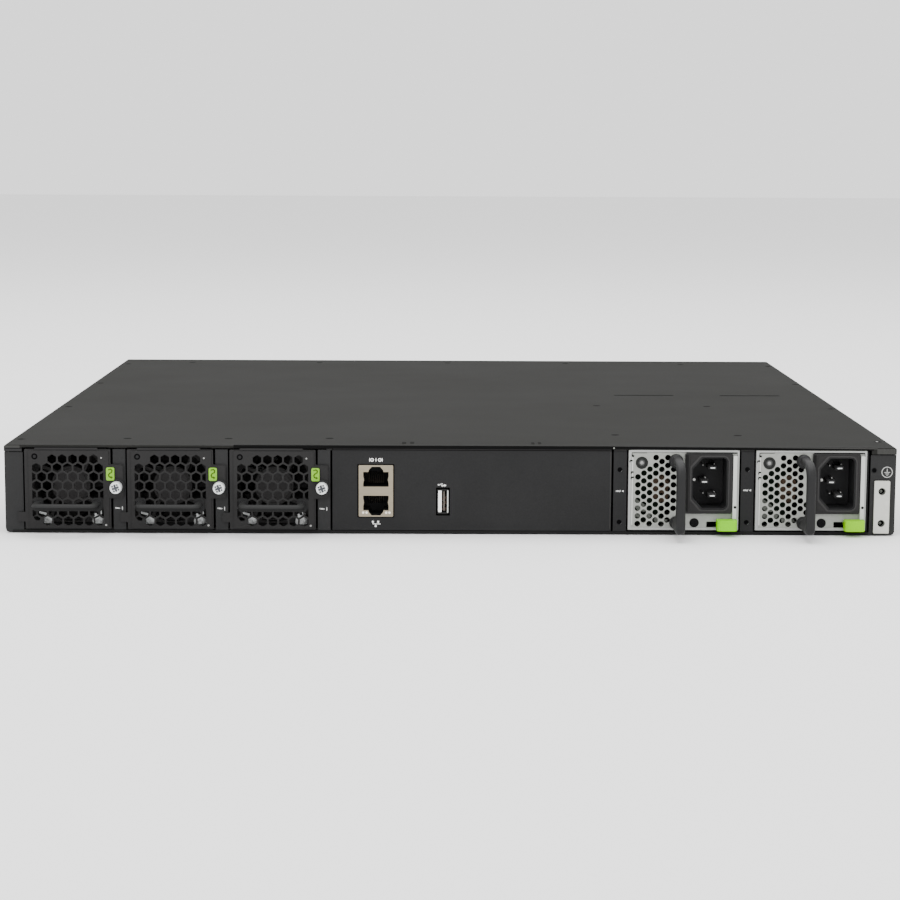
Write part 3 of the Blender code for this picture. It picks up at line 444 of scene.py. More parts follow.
# =========================================================================
# cooling modules
# =========================================================================
def axial_rotor(name, mid, y0, y1, hub_r, tip_r, count, body, node, slot="fan_plastic", sweep=0.9, turn=0.2):
    """Hub cup with curved, twisted, tapering blades round an axis along y."""
    s = Shape()
    s.use(0)
    s.lathe([(0.0, y0), (hub_r * 0.30, y0), (hub_r * 0.34, y0 + 0.25), (hub_r * 0.86, y0 + 0.25), (hub_r * 0.95, y0 + 0.5), (hub_r, y0 + 1.2), (hub_r, y1), (hub_r - 1.0, y1), (hub_r - 1.0, y1 - 0.6), (0.0, y1 - 0.6)], mid, "Y", 40)
    nr, na = 7, 10
    for b in range(count):
        base = 2 * math.pi * b / count + turn
        pts, faces = [], []
        for side in (-1, 1):
            for i in range(nr + 1):
                f = i / nr
                r = hub_r - 0.4 + (tip_r - hub_r + 0.4) * f
                wide = sweep * (0.86 + 0.24 * f)
                lean = 0.16 * math.sin(f * math.pi * 0.6)
                for j in range(na + 1):
                    g = j / na
                    a = base + lean + wide * (g - 0.5)
                    arch = 0.10 * math.sin(math.pi * g) * wide
                    y = y0 + 1.4 + (y1 - y0 - 2.8) * (0.5 + (g - 0.5) * (0.92 - 0.35 * f))
                    thick = (0.62 - 0.22 * f) * (0.35 + math.sin(math.pi * min(1.0, 0.18 + 0.82 * g)) * 0.65)
                    n = Vector((-math.sin(a), 0.8, math.cos(a))).normalized()
                    off = n * (side * thick * 0.5)
                    pts.append((mid[0] + r * math.cos(a + arch) + off.x, y + off.y, mid[1] + r * math.sin(a + arch) + off.z))
        m = (nr + 1) * (na + 1)
        for i in range(nr):
            for j in range(na):
                q = i * (na + 1) + j
                faces.append((q, q + 1, q + na + 2, q + na + 1))
                faces.append((m + q, m + q + na + 1, m + q + na + 2, m + q + 1))
        rim = [j for j in range(na + 1)] + [i * (na + 1) + na for i in range(1, nr + 1)] + [nr * (na + 1) + j for j in range(na - 1, -1, -1)] + [i * (na + 1) for i in range(nr - 1, 0, -1)]
        for i in range(len(rim)):
            a, b2 = rim[i], rim[(i + 1) % len(rim)]
            faces.append((a, m + a, m + b2, b2))
        s.add(pts, faces)
    return s.build(name, [FAN_PLASTIC], body, slot, smooth=32, replaces=(node,))


def axial_frame(name, x, z, y, bore, hub_r, node, body, strut_y, struts=4, screw=16.0, slot="fan_plastic"):
    """Fan housing: rounded square flanges, waisted duct, corner bosses, motor seat and slanting struts."""
    cx, cz = (x[0] + x[1]) / 2, (z[0] + z[1]) / 2
    s = Shape()
    outer = rrect(x[0], x[1], z[0], z[1], 2.6, 5)
    waist = rounded([(cx + a, cz + b) for a, b in ((x[0] - cx + 1.5, -9.5), (x[0] - cx + 1.5, 9.5), (-9.5, z[1] - cz - 1.3), (9.5, z[1] - cz - 1.3), (x[1] - cx - 1.5, 9.5), (x[1] - cx - 1.5, -9.5), (9.5, z[0] - cz + 1.3), (-9.5, z[0] - cz + 1.3))][::-1], 3.0, 4)
    holes = [circle(cx + sx * screw, cz + sz * min(screw, (z[1] - z[0]) / 2 - 2.6), 1.5, 16) for sx in (-1, 1) for sz in (-1, 1)]
    t = 3.2
    s.prism(outer, y[0], y[0] + t, "Y", holes=[circle(cx, cz, bore + 0.35, 56)] + holes)
    s.prism(outer, y[1] - t, y[1], "Y", holes=[circle(cx, cz, bore + 0.35, 56)] + holes)
    s.prism(waist, y[0] + t - 0.1, y[1] - t + 0.1, "Y", holes=[circle(cx, cz, bore, 56)])
    for i in range(struts):
        a = math.radians(45 + 360 / struts * i)
        for f in range(1):
            c, d = math.cos(a), math.sin(a)
            w = 0.85
            r0, r1 = hub_r - 1.2, bore + 0.6
            skew = 0.22
            c1, d1 = math.cos(a + skew), math.sin(a + skew)
            quad = [(cx + r0 * c - w * d, cz + r0 * d + w * c), (cx + r0 * c + w * d, cz + r0 * d - w * c), (cx + r1 * c1 + w * d1, cz + r1 * d1 - w * c1), (cx + r1 * c1 - w * d1, cz + r1 * d1 + w * c1)]
            s.prism(quad, strut_y[0] + 0.3, strut_y[1] - 0.3, "Y")
    y0, y1 = strut_y
    s.lathe([(0.0, y0 + 0.25), (hub_r - 1.3, y0 + 0.25), (hub_r - 1.2, y0), (hub_r - 0.35, y0), (hub_r, y0 + 0.35), (hub_r, y1), (0.0, y1)], (cx, cz), "Y", 48)
    s.use(1)
    s.lathe([(0.0, y0 + 0.12), (hub_r - 1.7, y0 + 0.12), (hub_r - 1.7, y0 + 0.32), (0.0, y0 + 0.32)], (cx, cz), "Y", 48)
    return s.build(name, [FAN_PLASTIC, HUB], body, slot, bevel=0.18, seg=2, angle=40, replaces=(node,))


def pan_screw(s, x, z, r, y0, reach=2.2, cross=True, shank=0.0):
    """Domed screw head that faces -y, with a cross recess."""
    h = reach
    s.lathe([(0.0, y0 - h * 0.62), (r * 0.30, y0 - h * 0.62), (r * 0.34, y0 - h), (r * 0.62, y0 - h * 0.97), (r * 0.86, y0 - h * 0.78), (r, y0 - h * 0.42), (r, y0), (0.0, y0)], (x, z), "Y", 28,
            radius=(lambda t, q, hh: q * (1.0 + (0.75 * abs(math.cos(2 * t)) ** 6 if cross and q < r * 0.4 else 0.0))))
    if shank:
        s.lathe([(0.0, y0 - 0.05), (shank, y0 - 0.05), (shank, y0 + 3.0), (0.0, y0 + 3.0)], (x, z), "Y", 16)
    return s


def countersunk(s, x, z, r, y, axis="Y"):
    s.lathe([(0.0, y + 0.2), (r * 0.35, y + 0.2), (r * 0.42, y - 0.06), (r * 0.92, y - 0.08), (r, y - 0.01), (r, y + 0.25), (0.0, y + 0.25)], (x, z), axis, 24,
            radius=(lambda t, q, hh: q * (1.0 + (0.6 * abs(math.cos(2 * t)) ** 6 if q < r * 0.5 else 0.0))))
    return s


HEX_PITCH, HEX_ROW, HEX_R = 5.12, 4.42, 4.25 / math.sqrt(3)


def cross_recess(cx, cz, half, width, turn):
    """Outline of a four-armed driver recess."""
    w = width / 2
    pts = []
    for q in range(4):
        a = turn + math.pi / 2 * q
        c, d = math.cos(a), math.sin(a)
        pts += [(cx + u * c - v * d, cz + u * d + v * c) for u, v in ((half, -w), (half, w), (w, w))]
    return pts


for k in range(1, 4):
    t, body = f"fan{k}_", f"fan_module_{k}"
    x0, x1, y0, y1, z0, z1 = mm_box(t + "tray")
    left, right = x0 - 0.6, x1 + 0.6
    gy = mm_box(t + "grille")
    front, back = gy[2], gy[3]
    z0, z1 = gy[4], gy[5]
    mid = (left + right) / 2
    sx, sz = left + 45.8, 23.5
    # perforated face in two layers, so that the folded border shows as a step
    hexes = []
    win = (left + 3.7, left + 38.8, z0 + 1.8, z1 - 2.3)
    for row in range(8):
        z = 36.7 - HEX_ROW * row
        odd = row % 2 == 0
        for i in range(-1, 8):
            x = left + (5.9 + HEX_PITCH / 2 if odd else 5.9) + HEX_PITCH * i
            if (row == 0 and (i < 1 or i > 5)) or (row == 7 and i < 1) or (row == 5 and i > 5):
                continue
            poly = clipped(circle(x, z, HEX_R, 6, 0.5), *win)
            if len(poly) > 2 and area(poly) > 3.0:
                cx = sum(p[0] for p in poly) / len(poly)
                cz = sum(p[1] for p in poly) / len(poly)
                hexes.append(([(cx + (p[0] - cx) * 0.995, cz + (p[1] - cz) * 0.995) for p in poly]))
    hexes.append([(left + 4.3, 7.3), (left + 4.3, 8.0), (left + 5.9, 8.15), (left + 7.4, 7.2), (left + 7.0, 6.0), (left + 5.2, 6.2)])
    ear_z0, ear_z1 = 17.2, 34.2
    outline = rounded([(left, z0), (right, z0), (right, ear_z0), (right + 6.4, ear_z0), (right + 6.4, ear_z1), (right, ear_z1), (right, z1), (left, z1), (left, 10.2), (left - 3.8, 10.2), (left - 3.8, 5.4), (left, 5.4)],
                      [0.5, 0.5, 0.4, 1.2, 1.2, 0.4, 0.5, 0.5, 0.3, 0.7, 0.7, 0.3], 3)
    s = Shape()
    s.prism(outline, front + 0.45, back, "Y", holes=hexes + [circle(sx, sz, 2.0, 24)])
    inner = rounded([(left + 2.0, z0 + 0.5), (right - 0.9, z0 + 0.5), (right - 0.9, ear_z0 + 0.4), (right + 6.0, ear_z0 + 0.4), (right + 6.0, ear_z1 - 0.4), (right - 0.9, ear_z1 - 0.4), (right - 0.9, z1 - 0.6), (left + 2.0, z1 - 0.6)], [0.4, 0.4, 0.3, 0.9, 0.9, 0.3, 0.4, 0.4], 3)
    s.prism(inner, front, front + 0.6, "Y", holes=hexes + [circle(sx, sz, 2.0, 24)])
    s.build(t + "face_sheet", FACE, body, "black_steel", bevel=0.14, seg=2, angle=40, replaces=(t + "grille",))
    # turned top edge that closes most of the gap under the cover
    s = Shape()
    s.prism(rounded([(left + 4.9, 41.4), (left + 36.2, 41.4), (left + 35.9, 42.3), (left + 5.2, 42.3)], 0.2, 2), front + 0.04, front + 1.3, "Y")
    s.build(t + "top_return", FACE, body, "black_steel", bevel=0.1, seg=2)
    keep(t + "tray", BLACK, 0.2, 2)
    # fan: housing and rotor
    fb = mm_box(t + "frame")
    axial_frame(t + "housing", (fb[0], fb[1]), (fb[4], fb[5]), (fb[2], fb[3]), 17.8, 9.8, t + "frame", body, (fb[2], fb[2] + 2.8))
    rb = mm_box(t + "rotor")
    axial_rotor(t + "impeller", ((rb[0] + rb[1]) / 2, (rb[4] + rb[5]) / 2), rb[2], rb[3], 9.4, 17.0, 7, t + "rotor_body", t + "rotor")
    # grey cable clip behind the first holes
    s = Shape()
    s.prism(rrect(left + 3.9, left + 6.9, 11.6, 17.2, 0.5, 2), 1.6, 2.4, "Y")
    s.build(t + "cable_clip", surface(t + "clip_grey", (0.045, 0.043, 0.04), 0.5, mottle=0.1, specular=0.1), body, bevel=0.15)
    # bright fan screws in front of the housing, with three slanted bright slivers beside them as painted glints, and
    # dark ones in the face's upper corners ringed with painted shade
    s = Shape()
    pan_screw(s, mid - 11.5, 4.7, 2.7, 8.0, 1.2, cross=False)
    pan_screw(s, mid + 13.6, 4.6, 3.1, 8.0, 1.4, cross=False)
    s.prism(rounded([(mid - 15.9, 9.4), (mid - 15.6, 8.3), (mid - 12.3, 7.4), (mid - 11.9, 8.4)], 0.35, 2), 6.8, 7.6, "Y")
    s.prism(rounded([(mid + 13.9, 9.3), (mid + 14.3, 7.7), (mid + 15.6, 8.2), (mid + 15.2, 9.9)], 0.35, 2), 6.8, 7.6, "Y")
    s.prism(rounded([(mid + 11.6, 8.3), (mid + 12.4, 6.4), (mid + 13.2, 6.8), (mid + 12.6, 8.5)], 0.3, 2), 6.8, 7.6, "Y")
    s.build(t + "fan_screws", BRIGHT_PLATE_AND_GLINT, body, "nickel", smooth=35)
    # two small dull dots on the face, placed as painted glints
    s = Shape()
    s.lathe([(0.0, front - 0.3), (0.3, front - 0.28), (0.48, front - 0.15), (0.5, front), (0.0, front + 0.1)], (left + 39.9, 3.9), "Y", 20)
    s.lathe([(0.0, front - 0.25), (0.25, front - 0.23), (0.4, front - 0.12), (0.42, front), (0.0, front + 0.1)], (left + 37.9, 37.4), "Y", 16)
    s.build(t + "face_glint_dots", DULL_PAINTED_GLINT, body, "nickel", smooth=35)
    s = Shape()
    s.use(0)
    s.lathe([(0.8, front - 0.02), (0.95, front - 0.12), (1.35, front - 0.12), (1.5, front - 0.01), (1.5, front + 0.1), (0.8, front + 0.1)], (left + 5.1, 38.0), "Y", 24, loop=True)
    s.use(1)
    s.lathe([(0.0, front - 0.06), (0.5, front - 0.05), (0.82, front - 0.01), (0.82, front + 0.1), (0.0, front + 0.1)], (left + 5.1, 38.0), "Y", 20)
    s.build(t + "face_screws", [VOID, BLACK], body, "black_steel", smooth=30)
    # rounded pull rail with riveted feet; the rail's lower half gets a darker copy of its coat as painted shade
    hb = mm_box(t + "handle")
    hm = (hb[0] + hb[1]) / 2
    s = Shape()
    rod = rounded(rect(-1.9, 1.9, -1.7, 1.7), 1.55, 5)
    bend = rounded([(hm - 14.3, -1.9), (hm - 14.3, -14.1), (hm + 14.3, -14.1), (hm + 14.3, -1.9)], [0, 2.6, 2.6, 0], 8)
    s.sweep([(u, v, 14.6) for u, v in bend], rod)
    m = len(rod)
    s.m = [1 if j < (len(bend) - 1) * m and (rod[j % m][1] + rod[(j + 1) % m][1]) / 2 < 0.25 else 0 for j in range(len(s.f))]
    s.build(t + "pull_bar", [RAIL, RAIL_PAINTED_SHADE], body, "black_steel", smooth=40, replaces=(t + "handle",))
    s = Shape()
    for a, b in ((hm - 16.8, hm - 12.0), (hm + 12.0, hm + 16.8)):
        s.prism(rrect(a, b, 10.8, 17.6, 1.3, 5), -2.7, -1.75, "Y")
        s.lathe([(0.0, -3.05), (0.5, -3.0), (0.85, -2.85), (0.95, -2.6), (0.0, -2.6)], ((a + b) / 2, 11.9), "Y", 18)
    s.build(t + "pull_feet", BLACK, body, "black_steel", bevel=0.25, seg=3, angle=40)
    # captive screw: knurled head with an open cross and slot, waisted shank
    tb = mm_box(t + "thumbscrew")
    hy = tb[2]
    s = Shape()
    s.use(0)
    s.prism(circle(sx, sz, 2.57, 48), hy + 0.02, hy + 1.0, "Y", holes=[cross_recess(sx, sz, 1.8, 1.1, 0.35)] + [circle(sx + 1.72 * math.cos(a), sz + 1.72 * math.sin(a), 0.5, 16) for a in (1.13, 2.7, 4.28, 5.85)])
    s.lathe([(2.55, hy + 0.1), (2.66, hy + 0.12), (2.86, hy + 0.45), (2.98, hy + 0.9), (2.98, hy + 3.6), (2.86, hy + 3.9), (2.4, hy + 4.1), (2.55, hy + 4.1)], (sx, sz), "Y", 96, loop=True,
            radius=lambda a, q, h: q * (1.0 + (0.028 * math.cos(24 * a) - 0.028 if q > 2.92 else 0.0)))
    s.lathe([(0.0, hy + 1.5), (2.69, hy + 1.5), (2.69, hy + 4.1), (2.5, hy + 4.1), (2.5, hy + 6.4), (0.0, hy + 6.4)], (sx, sz), "Y", 48)
    s.lathe([(0.0, hy + 6.2), (1.45, hy + 6.2), (1.45, tb[3] - 3.4), (1.2, tb[3] - 3.0), (1.45, tb[3] - 2.6), (1.45, tb[3] - 0.6), (0.9, tb[3]), (0.0, tb[3])], (sx, sz), "Y", 24)
    s.use(1)
    s.lathe([(0.0, hy + 0.5), (2.5, hy + 0.5), (2.5, hy + 1.55), (0.0, hy + 1.55)], (sx, sz), "Y", 32)
    s.build(t + "captive_screw", [BRIGHT_PLATE_AND_GLINT, SLOT_GREY], t + "screw_body", "nickel", bevel=0.06, seg=2, angle=50, smooth=35, replaces=(t + "thumbscrew",))
    # lime airflow tag with a curling arrow in relief, the relief coloured darker green as painted shade
    gb = mm_box(t + "tag")
    ax, az = (gb[0] + gb[1]) / 2, (gb[4] + gb[5]) / 2
    s = Shape()
    s.prism(rrect(gb[0] + 0.15, gb[1] - 0.35, gb[4] + 0.15, gb[5] - 0.45, 0.8, 5), gb[2] + 0.12, gb[3], "Y")
    s.use(1)
    s.stroke([(ax - 0.9, az + 2.0), (ax + 0.2, az + 2.3), (ax + 0.9, az + 1.7), (ax + 0.7, az + 0.8), (ax - 0.4, az + 0.2), (ax - 0.9, az - 0.6), (ax - 0.6, az - 1.5), (ax + 0.3, az - 1.8)], 0.62, gb[2] + 0.02, gb[2] + 0.2)
    s.prism([(ax + 0.2, az - 1.0), (ax + 0.2, az - 2.6), (ax + 1.3, az - 1.8)], gb[2] + 0.02, gb[2] + 0.2, "Y")
    s.build(t + "airflow_tag", [TAG, TAG_RELIEF_PAINTED_SHADE], body, "tag_green", bevel=0.08, seg=2, angle=40, replaces=(t + "tag",))
    # dark collar that the screw passes through, on the ear
    s = Shape()
    s.lathe([(2.05, front - 0.1), (2.3, front - 1.2), (3.0, front - 1.3), (3.45, front - 0.9), (3.6, front), (3.6, front + 0.1), (2.05, front + 0.1)], (sx, sz), "Y", 40, loop=True)
    s.build(t + "screw_collar", BLACK, body, "black_steel", smooth=35)
    # short bar and tick on the strip below
    s = Shape()
    strip_y = mm_box("fan_cage")[2]
    s.stroke([(left + 44.5, 12.25), (left + 46.4, 12.1)], 0.62, strip_y - 0.03, strip_y + 0.01)
    s.stroke([(left + 47.8, 12.85), (left + 47.8, 11.4)], 0.42, strip_y - 0.03, strip_y + 0.01)
    s.build(t + "strip_mark", INK_SOFT, "chassis")
    # rear connector on the tray, with its contacts
    s = Shape()
    s.pocketed(rrect(mid - 7.4, mid + 7.4, 10.0, 16.2, 0.4), [rrect(mid - 6.2, mid + 6.2, 11.2, 15.0, 0.3)], 61.9, 58.6, 55.4, "Y")
    s.build(t + "plug_shell", DARK_PLASTIC, body, "black_plastic", bevel=0.12)
    s = Shape()
    for i in range(10):
        px = mid - 5.2 + 10.4 * i / 9
        s.box(px - 0.25, px + 0.25, 58.4, 61.6, 12.3, 12.8)
        s.box(px - 0.25, px + 0.25, 58.4, 61.6, 13.5, 14.0)
    s.build(t + "plug_contacts", GOLD, body, "pins", bevel=0.06, seg=1)


# =========================================================================
# rear I/O panel, strips and flanges
# =========================================================================
keep("chassis_base", FLANGE, 0.25, 2)
keep("io_panel", BLACK, 0.2, 2)
keep("fan_cage", FLANGE, 0.15, 2)
keep("psu_cage", BLACK, 0.15, 2)


def jack_hole(cx, z_flat, up):
    """Opening of one jack: spring bulges on both sides, then the latch steps."""
    s = 1.0 if up else -1.0
    pts = [(-6.25, 0.0), (6.25, 0.0), (6.25, 1.6), (5.85, 3.4), (6.25, 5.2), (6.25, 7.3), (3.75, 7.3), (3.5, 8.3), (2.6, 9.3), (2.1, 9.9), (-2.1, 9.9), (-2.6, 9.3), (-3.5, 8.3), (-3.75, 7.3), (-6.25, 7.3), (-6.25, 5.2), (-5.85, 3.4), (-6.25, 1.6)]
    out = [(cx + u, z_flat + s * v) for u, v in pts]
    return out if up else out[::-1]


jb = mm_box("management_jack")
jx = (jb[0] + jb[1]) / 2
s = Shape()
s.prism(rrect(jb[0], jb[1], jb[4], jb[5], 0.5, 3), jb[2], jb[2] + 0.35, "Y", holes=[jack_hole(jx, 23.4, True), jack_hole(jx, 18.9, False)])
s.prism(rrect(jb[0] + 0.05, jb[1] - 0.05, jb[4] + 0.05, jb[5] - 0.05, 0.4, 3), jb[2] + 0.3, jb[3], "Y", holes=[rrect(jx - 7.9, jx + 7.9, jb[4] + 0.6, jb[5] - 0.6, 0.3, 2)])
s.build("jack_shield", SHIELD, "chassis", "jack_shield", bevel=0.1, seg=2, angle=40, replaces=("management_jack",))
s = Shape()
s.pocketed(rect(jx - 7.8, jx + 7.8, jb[4] + 0.7, jb[5] - 0.7), [jack_hole(jx, 23.4, True), jack_hole(jx, 18.9, False)], jb[2] + 0.45, 13.5, 23.5, "Y")
s.build("jack_insert", CHIP, "chassis", "black_plastic", bevel=0.08)
s = Shape()
for base, sg in ((24.0, 1), (18.3, -1)):
    for i in range(8):
        px = jx - 3.57 + 1.02 * i
        s.sweep([(px, 12.8, base + sg * 0.2), (px, 5.0, base + sg * 0.4), (px, 4.0, base + sg * 0.8), (px, 9.5, base + sg * 3.6), (px, 13.0, base + sg * 5.0)], circle(0, 0, 0.2, 8), up=(1, 0, 0))
s.build("jack_contacts", CONTACT_DIM, "chassis", "pins", smooth=40)
s = Shape()
for px in (-6.3, -4.6, 5.1, 6.7):
    s.lathe([(0.0, jb[2] - 0.14), (0.5, jb[2] - 0.1), (0.68, jb[2] + 0.08), (0.0, jb[2] + 0.1)], (jx + px, 10.4), "Y", 20)
s.build("jack_lights", surface("jack_diffuser", (0.80, 0.76, 0.66), 0.4, mottle=0.05, bump=0.05, specular=0.3), "chassis", "lens", smooth=40)
s = Shape()
for side in (-1, 1):
    for zc in (26.7, 15.6):
        s.prism(rounded([(jx + side * 6.3, zc - 2.6), (jx + side * 6.35, zc + 2.6), (jx + side * 7.3, zc + 2.6), (jx + side * 7.3, zc - 2.6)], 0.3, 2), jb[2] - 0.10, jb[2] + 0.02, "Y")
s.prism(rrect(jx - 8.1, jx + 8.1, 20.0, 22.4, 0.3, 2), jb[2] - 0.08, jb[2] + 0.02, "Y")
s.build("jack_shield_springs", SHIELD, "chassis", "jack_shield", bevel=0.06, seg=2)
s = Shape()
s.prism(rrect(jb[0] - 0.7, jb[1] + 0.6, jb[4] - 0.45, jb[5] + 0.5, 0.5, 3), -0.035, 0.02, "Y", holes=[rrect(jb[0] - 0.02, jb[1] + 0.02, jb[4] - 0.02, jb[5] + 0.02, 0.4, 3)])
s.build("jack_gap_shade", VOID, "chassis")

# upright USB-type socket: surround in painted shade, bright tongue, contact slots and a painted highlight along the
# shell's edge
ub = mm_box("usb_port")
uz0, uz1 = 10.75, 21.6
s = Shape()
s.use(0)
s.prism(rrect(-6.6, -0.92, 9.8, 22.25, 0.6, 4), ub[2] + 0.2, 9.4, "Y", holes=[rrect(-6.4, -1.82, uz0, uz1, 0.3, 4), rrect(-1.75, -1.1, uz0 - 0.02, uz1 + 0.02, 0.2, 3)])
s.prism(rrect(-6.75, -0.85, 9.7, 22.4, 0.8, 4), 9.3, ub[3], "Y")
s.use(1)
s.prism(rrect(-1.74, -1.12, uz0 - 0.25, uz1 + 0.1, 0.25, 3), ub[2], ub[2] + 1.2, "Y")
s.build("usb_shell", [USB_DARK, ZINC_PAINTED_HIGHLIGHT], "chassis", "nickel", bevel=0.1, seg=2, angle=40, replaces=("usb_port",))
s = Shape()
s.prism(rrect(-6.15, -4.42, uz0 + 0.05, uz1 - 0.05, 0.3, 3), -0.25, 9.4, "Y")
s.build("usb_tongue", surface("natural_tongue", (0.95, 0.95, 0.93), 0.42, mottle=0.03, specular=0.3), "chassis", "lens", bevel=0.15, seg=2)
s = Shape()
s.use(0)
s.prism(rrect(-3.62, -2.86, uz0 + 0.5, uz1 - 0.4, 0.2, 2), 1.2, 9.4, "Y")
s.use(1)
for z in (12.0, 14.6, 17.1, 19.6):
    s.prism(rrect(-4.34, -3.66, z - 0.55, z + 0.55, 0.05, 1), 1.4, 8.6, "Y")
for z in (12.1, 15.2, 17.6):
    s.prism(rrect(-2.8, -1.95, z - 0.8, z + 0.8, 0.05, 1), 1.6, 8.6, "Y")
s.build("usb_contacts", [surface("contact_carrier", (0.13, 0.115, 0.10), 0.6, mottle=0.1, specular=0.2), surface("contact_brown", (0.035, 0.016, 0.008), 0.5, mottle=0.2, specular=0.2)], "chassis", "pins", bevel=0.04, seg=1)

# symbols on the panel: a serial row, a small network tree and a plain plug arrow
iy = mm_box("io_panel")[2]
s = Shape()
for px in (-3.1, -1.9, 0.0, 1.9, 3.1):
    if px in (-1.9, 1.9):
        s.prism(circle(jx + px, 36.7, 0.88, 20), iy - 0.03, iy + 0.01, "Y", holes=[circle(jx + px, 36.7, 0.5, 16)])
    else:
        s.stroke([(jx + px, 35.95), (jx + px, 37.45)], 0.36, iy - 0.03, iy + 0.01)
s.build("symbol_serial", INK, "chassis")
s = Shape()
nx = jx - 0.1
for a, b in (((-1.4, 5.6), (-1.4, 4.7)), ((1.2, 5.6), (1.2, 4.7)), ((-1.4, 4.7), (2.3, 4.7)), ((0.0, 4.7), (0.0, 3.7))):
    s.stroke([(nx + a[0], a[1]), (nx + b[0], b[1])], 0.3, iy - 0.03, iy + 0.01)
for u, v in ((-1.4, 5.8), (1.2, 5.8), (0.0, 3.6)):
    s.prism(rrect(nx + u - 0.46, nx + u + 0.46, v - 0.42, v + 0.42, 0.15, 2), iy - 0.032, iy + 0.01, "Y")
s.build("symbol_network", INK, "chassis")
s = Shape()
s.stroke([(-5.9, 24.4), (-5.1, 24.4), (-4.3, 24.2), (-2.9, 24.1)], 0.38, iy - 0.03, iy + 0.01)
s.prism(circle(-5.9, 24.4, 0.38, 16), iy - 0.03, iy + 0.01, "Y")
s.prism([(-3.1, 23.5), (-2.1, 24.1), (-3.1, 24.7)], iy - 0.031, iy + 0.01, "Y")
s.stroke([(-5.1, 24.4), (-4.5, 24.95), (-4.1, 24.95)], 0.36, iy - 0.03, iy + 0.01)
s.stroke([(-4.7, 24.3), (-4.1, 23.6), (-3.7, 23.6)], 0.36, iy - 0.03, iy + 0.01)
s.build("symbol_socket", INK, "chassis")

# ink marks and press-fit studs round the panel
s = Shape()
cb = mm_box("psu_cage")
for px, pz in ((83.5, 21.6), (146.5, 22.2)):
    s.stroke([(px - 1.5, pz), (px - 0.3, pz)], 0.75, cb[2] - 0.03, cb[2] + 0.01)
    s.stroke([(px + 0.1, pz - 0.35), (px + 0.5, pz + 0.35)], 0.4, cb[2] - 0.03, cb[2] + 0.01)
    s.prism([(px + 1.0, pz), (px + 2.0, pz + 0.55), (px + 2.0, pz - 0.55)], cb[2] - 0.03, cb[2] + 0.01, "Y")
s.build("supply_marks", INK_SOFT, "chassis")
s = Shape()
for px, pz in ((83.5, 32.3), (83.5, 6.1), (146.5, 32.6), (146.5, 6.2)):
    s.use(0)
    s.lathe([(1.2, cb[2] - 0.05), (1.4, cb[2] - 0.08), (1.65, cb[2] - 0.01), (1.65, cb[2] + 0.1), (1.2, cb[2] + 0.1)], (px, pz), "Y", 24, loop=True)
    s.use(1)
    s.lathe([(0.0, cb[2] - 0.02), (1.22, cb[2] - 0.02), (1.22, cb[2] + 0.2), (0.0, cb[2] + 0.2)], (px, pz), "Y", 24)
    s.use(2)
    arc = [(px + 1.2 * math.cos(math.radians(d)), pz + 1.2 * math.sin(math.radians(d))) for d in (-62, -44, -26)]
    s.stroke(arc, 0.26, cb[2] - 0.1, cb[2] - 0.04)
s.build("strip_bushes", [BLACK, VOID, surface("bush_glint", (0.10, 0.10, 0.10), 0.4, specular=0.3)], "chassis", "black_steel", smooth=35)

# ground pad with its two threaded holes, a plain hole above it and the earth symbol
pb = mm_box("ground_pad")
px = 213.3
s = Shape()
s.prism(rrect(pb[0] + 0.15, pb[1] - 0.55, pb[4], pb[5], 0.5, 3), pb[2], pb[3], "Y", holes=[circle(px - 0.15, 22.0, 1.8, 32), circle(px - 0.15, 6.0, 1.8, 32)])
s.build("ground_plate", surface("tinned_pad", (0.50, 0.50, 0.46), 0.5, metal=0.1, mottle=0.05, speck=0.05, bump=0.1, specular=0.3), "chassis", "nickel", bevel=0.15, seg=2, replaces=("ground_pad",))
s = Shape()
px -= 0.15
for pz in (22.0, 6.0):
    s.use(0)
    s.lathe([(1.5, 0.3), (1.9, 0.3), (2.6, 1.3), (2.6, 4.0), (1.5, 4.0)], (px, pz), "Y", 28, loop=True)
    s.lathe([(0.35, 0.7), (0.62, 0.75), (0.72, 0.95), (0.35, 0.98)], (px - 0.2, pz - 0.1), "Y", 16, loop=True)
    s.use(1)
    s.lathe([(0.0, 1.0), (1.6, 1.0), (1.6, 1.5), (0.0, 1.5)], (px, pz), "Y", 24)
s.build("ground_nuts", [ZINC_IN, VOID], "chassis", "zinc_steel", smooth=35)
s = Shape()
s.use(0)
s.lathe([(1.15, -0.06), (1.35, -0.1), (1.6, -0.02), (1.6, 0.1), (1.15, 0.1)], (209.2, 32.4), "Y", 28, loop=True)
s.use(1)
s.lathe([(0.0, -0.03), (1.17, -0.03), (1.17, 0.1), (0.0, 0.1)], (209.2, 32.4), "Y", 24)
s.build("flange_bush", [BLACK, VOID], "chassis", "black_steel", smooth=35)
s = Shape()
gx, gz, fy = 215.6, 31.5, 0.0
s.prism(circle(gx, gz, 2.75, 40), fy - 0.03, fy + 0.01, "Y", holes=[circle(gx, gz, 2.4, 36)])
s.stroke([(gx, gz + 1.7), (gx, gz - 0.1)], 0.36, fy - 0.03, fy + 0.01)
for w, dz in ((1.35, -0.1), (0.85, -0.85), (0.3, -1.55)):
    s.stroke([(gx - w, gz + dz), (gx + w, gz + dz)], 0.34, fy - 0.03, fy + 0.01)
s.build("symbol_earth", INK_DIM, "chassis")


# =========================================================================
# power supplies
# =========================================================================
def inlet_cavity(cx, cz, grow=0.0):
    w, h = 8.4 + grow, 12.55 + grow
    pts = [(cx - w, cz - h + 5.6), (cx - w, cz + h - 5.6), (cx - w + 4.9, cz + h), (cx + w, cz + h), (cx + w, cz - h), (cx - w + 4.9, cz - h)]
    return rounded(pts, [1.2, 1.2, 1.2, 1.9 + grow, 1.9 + grow, 1.2], 4)


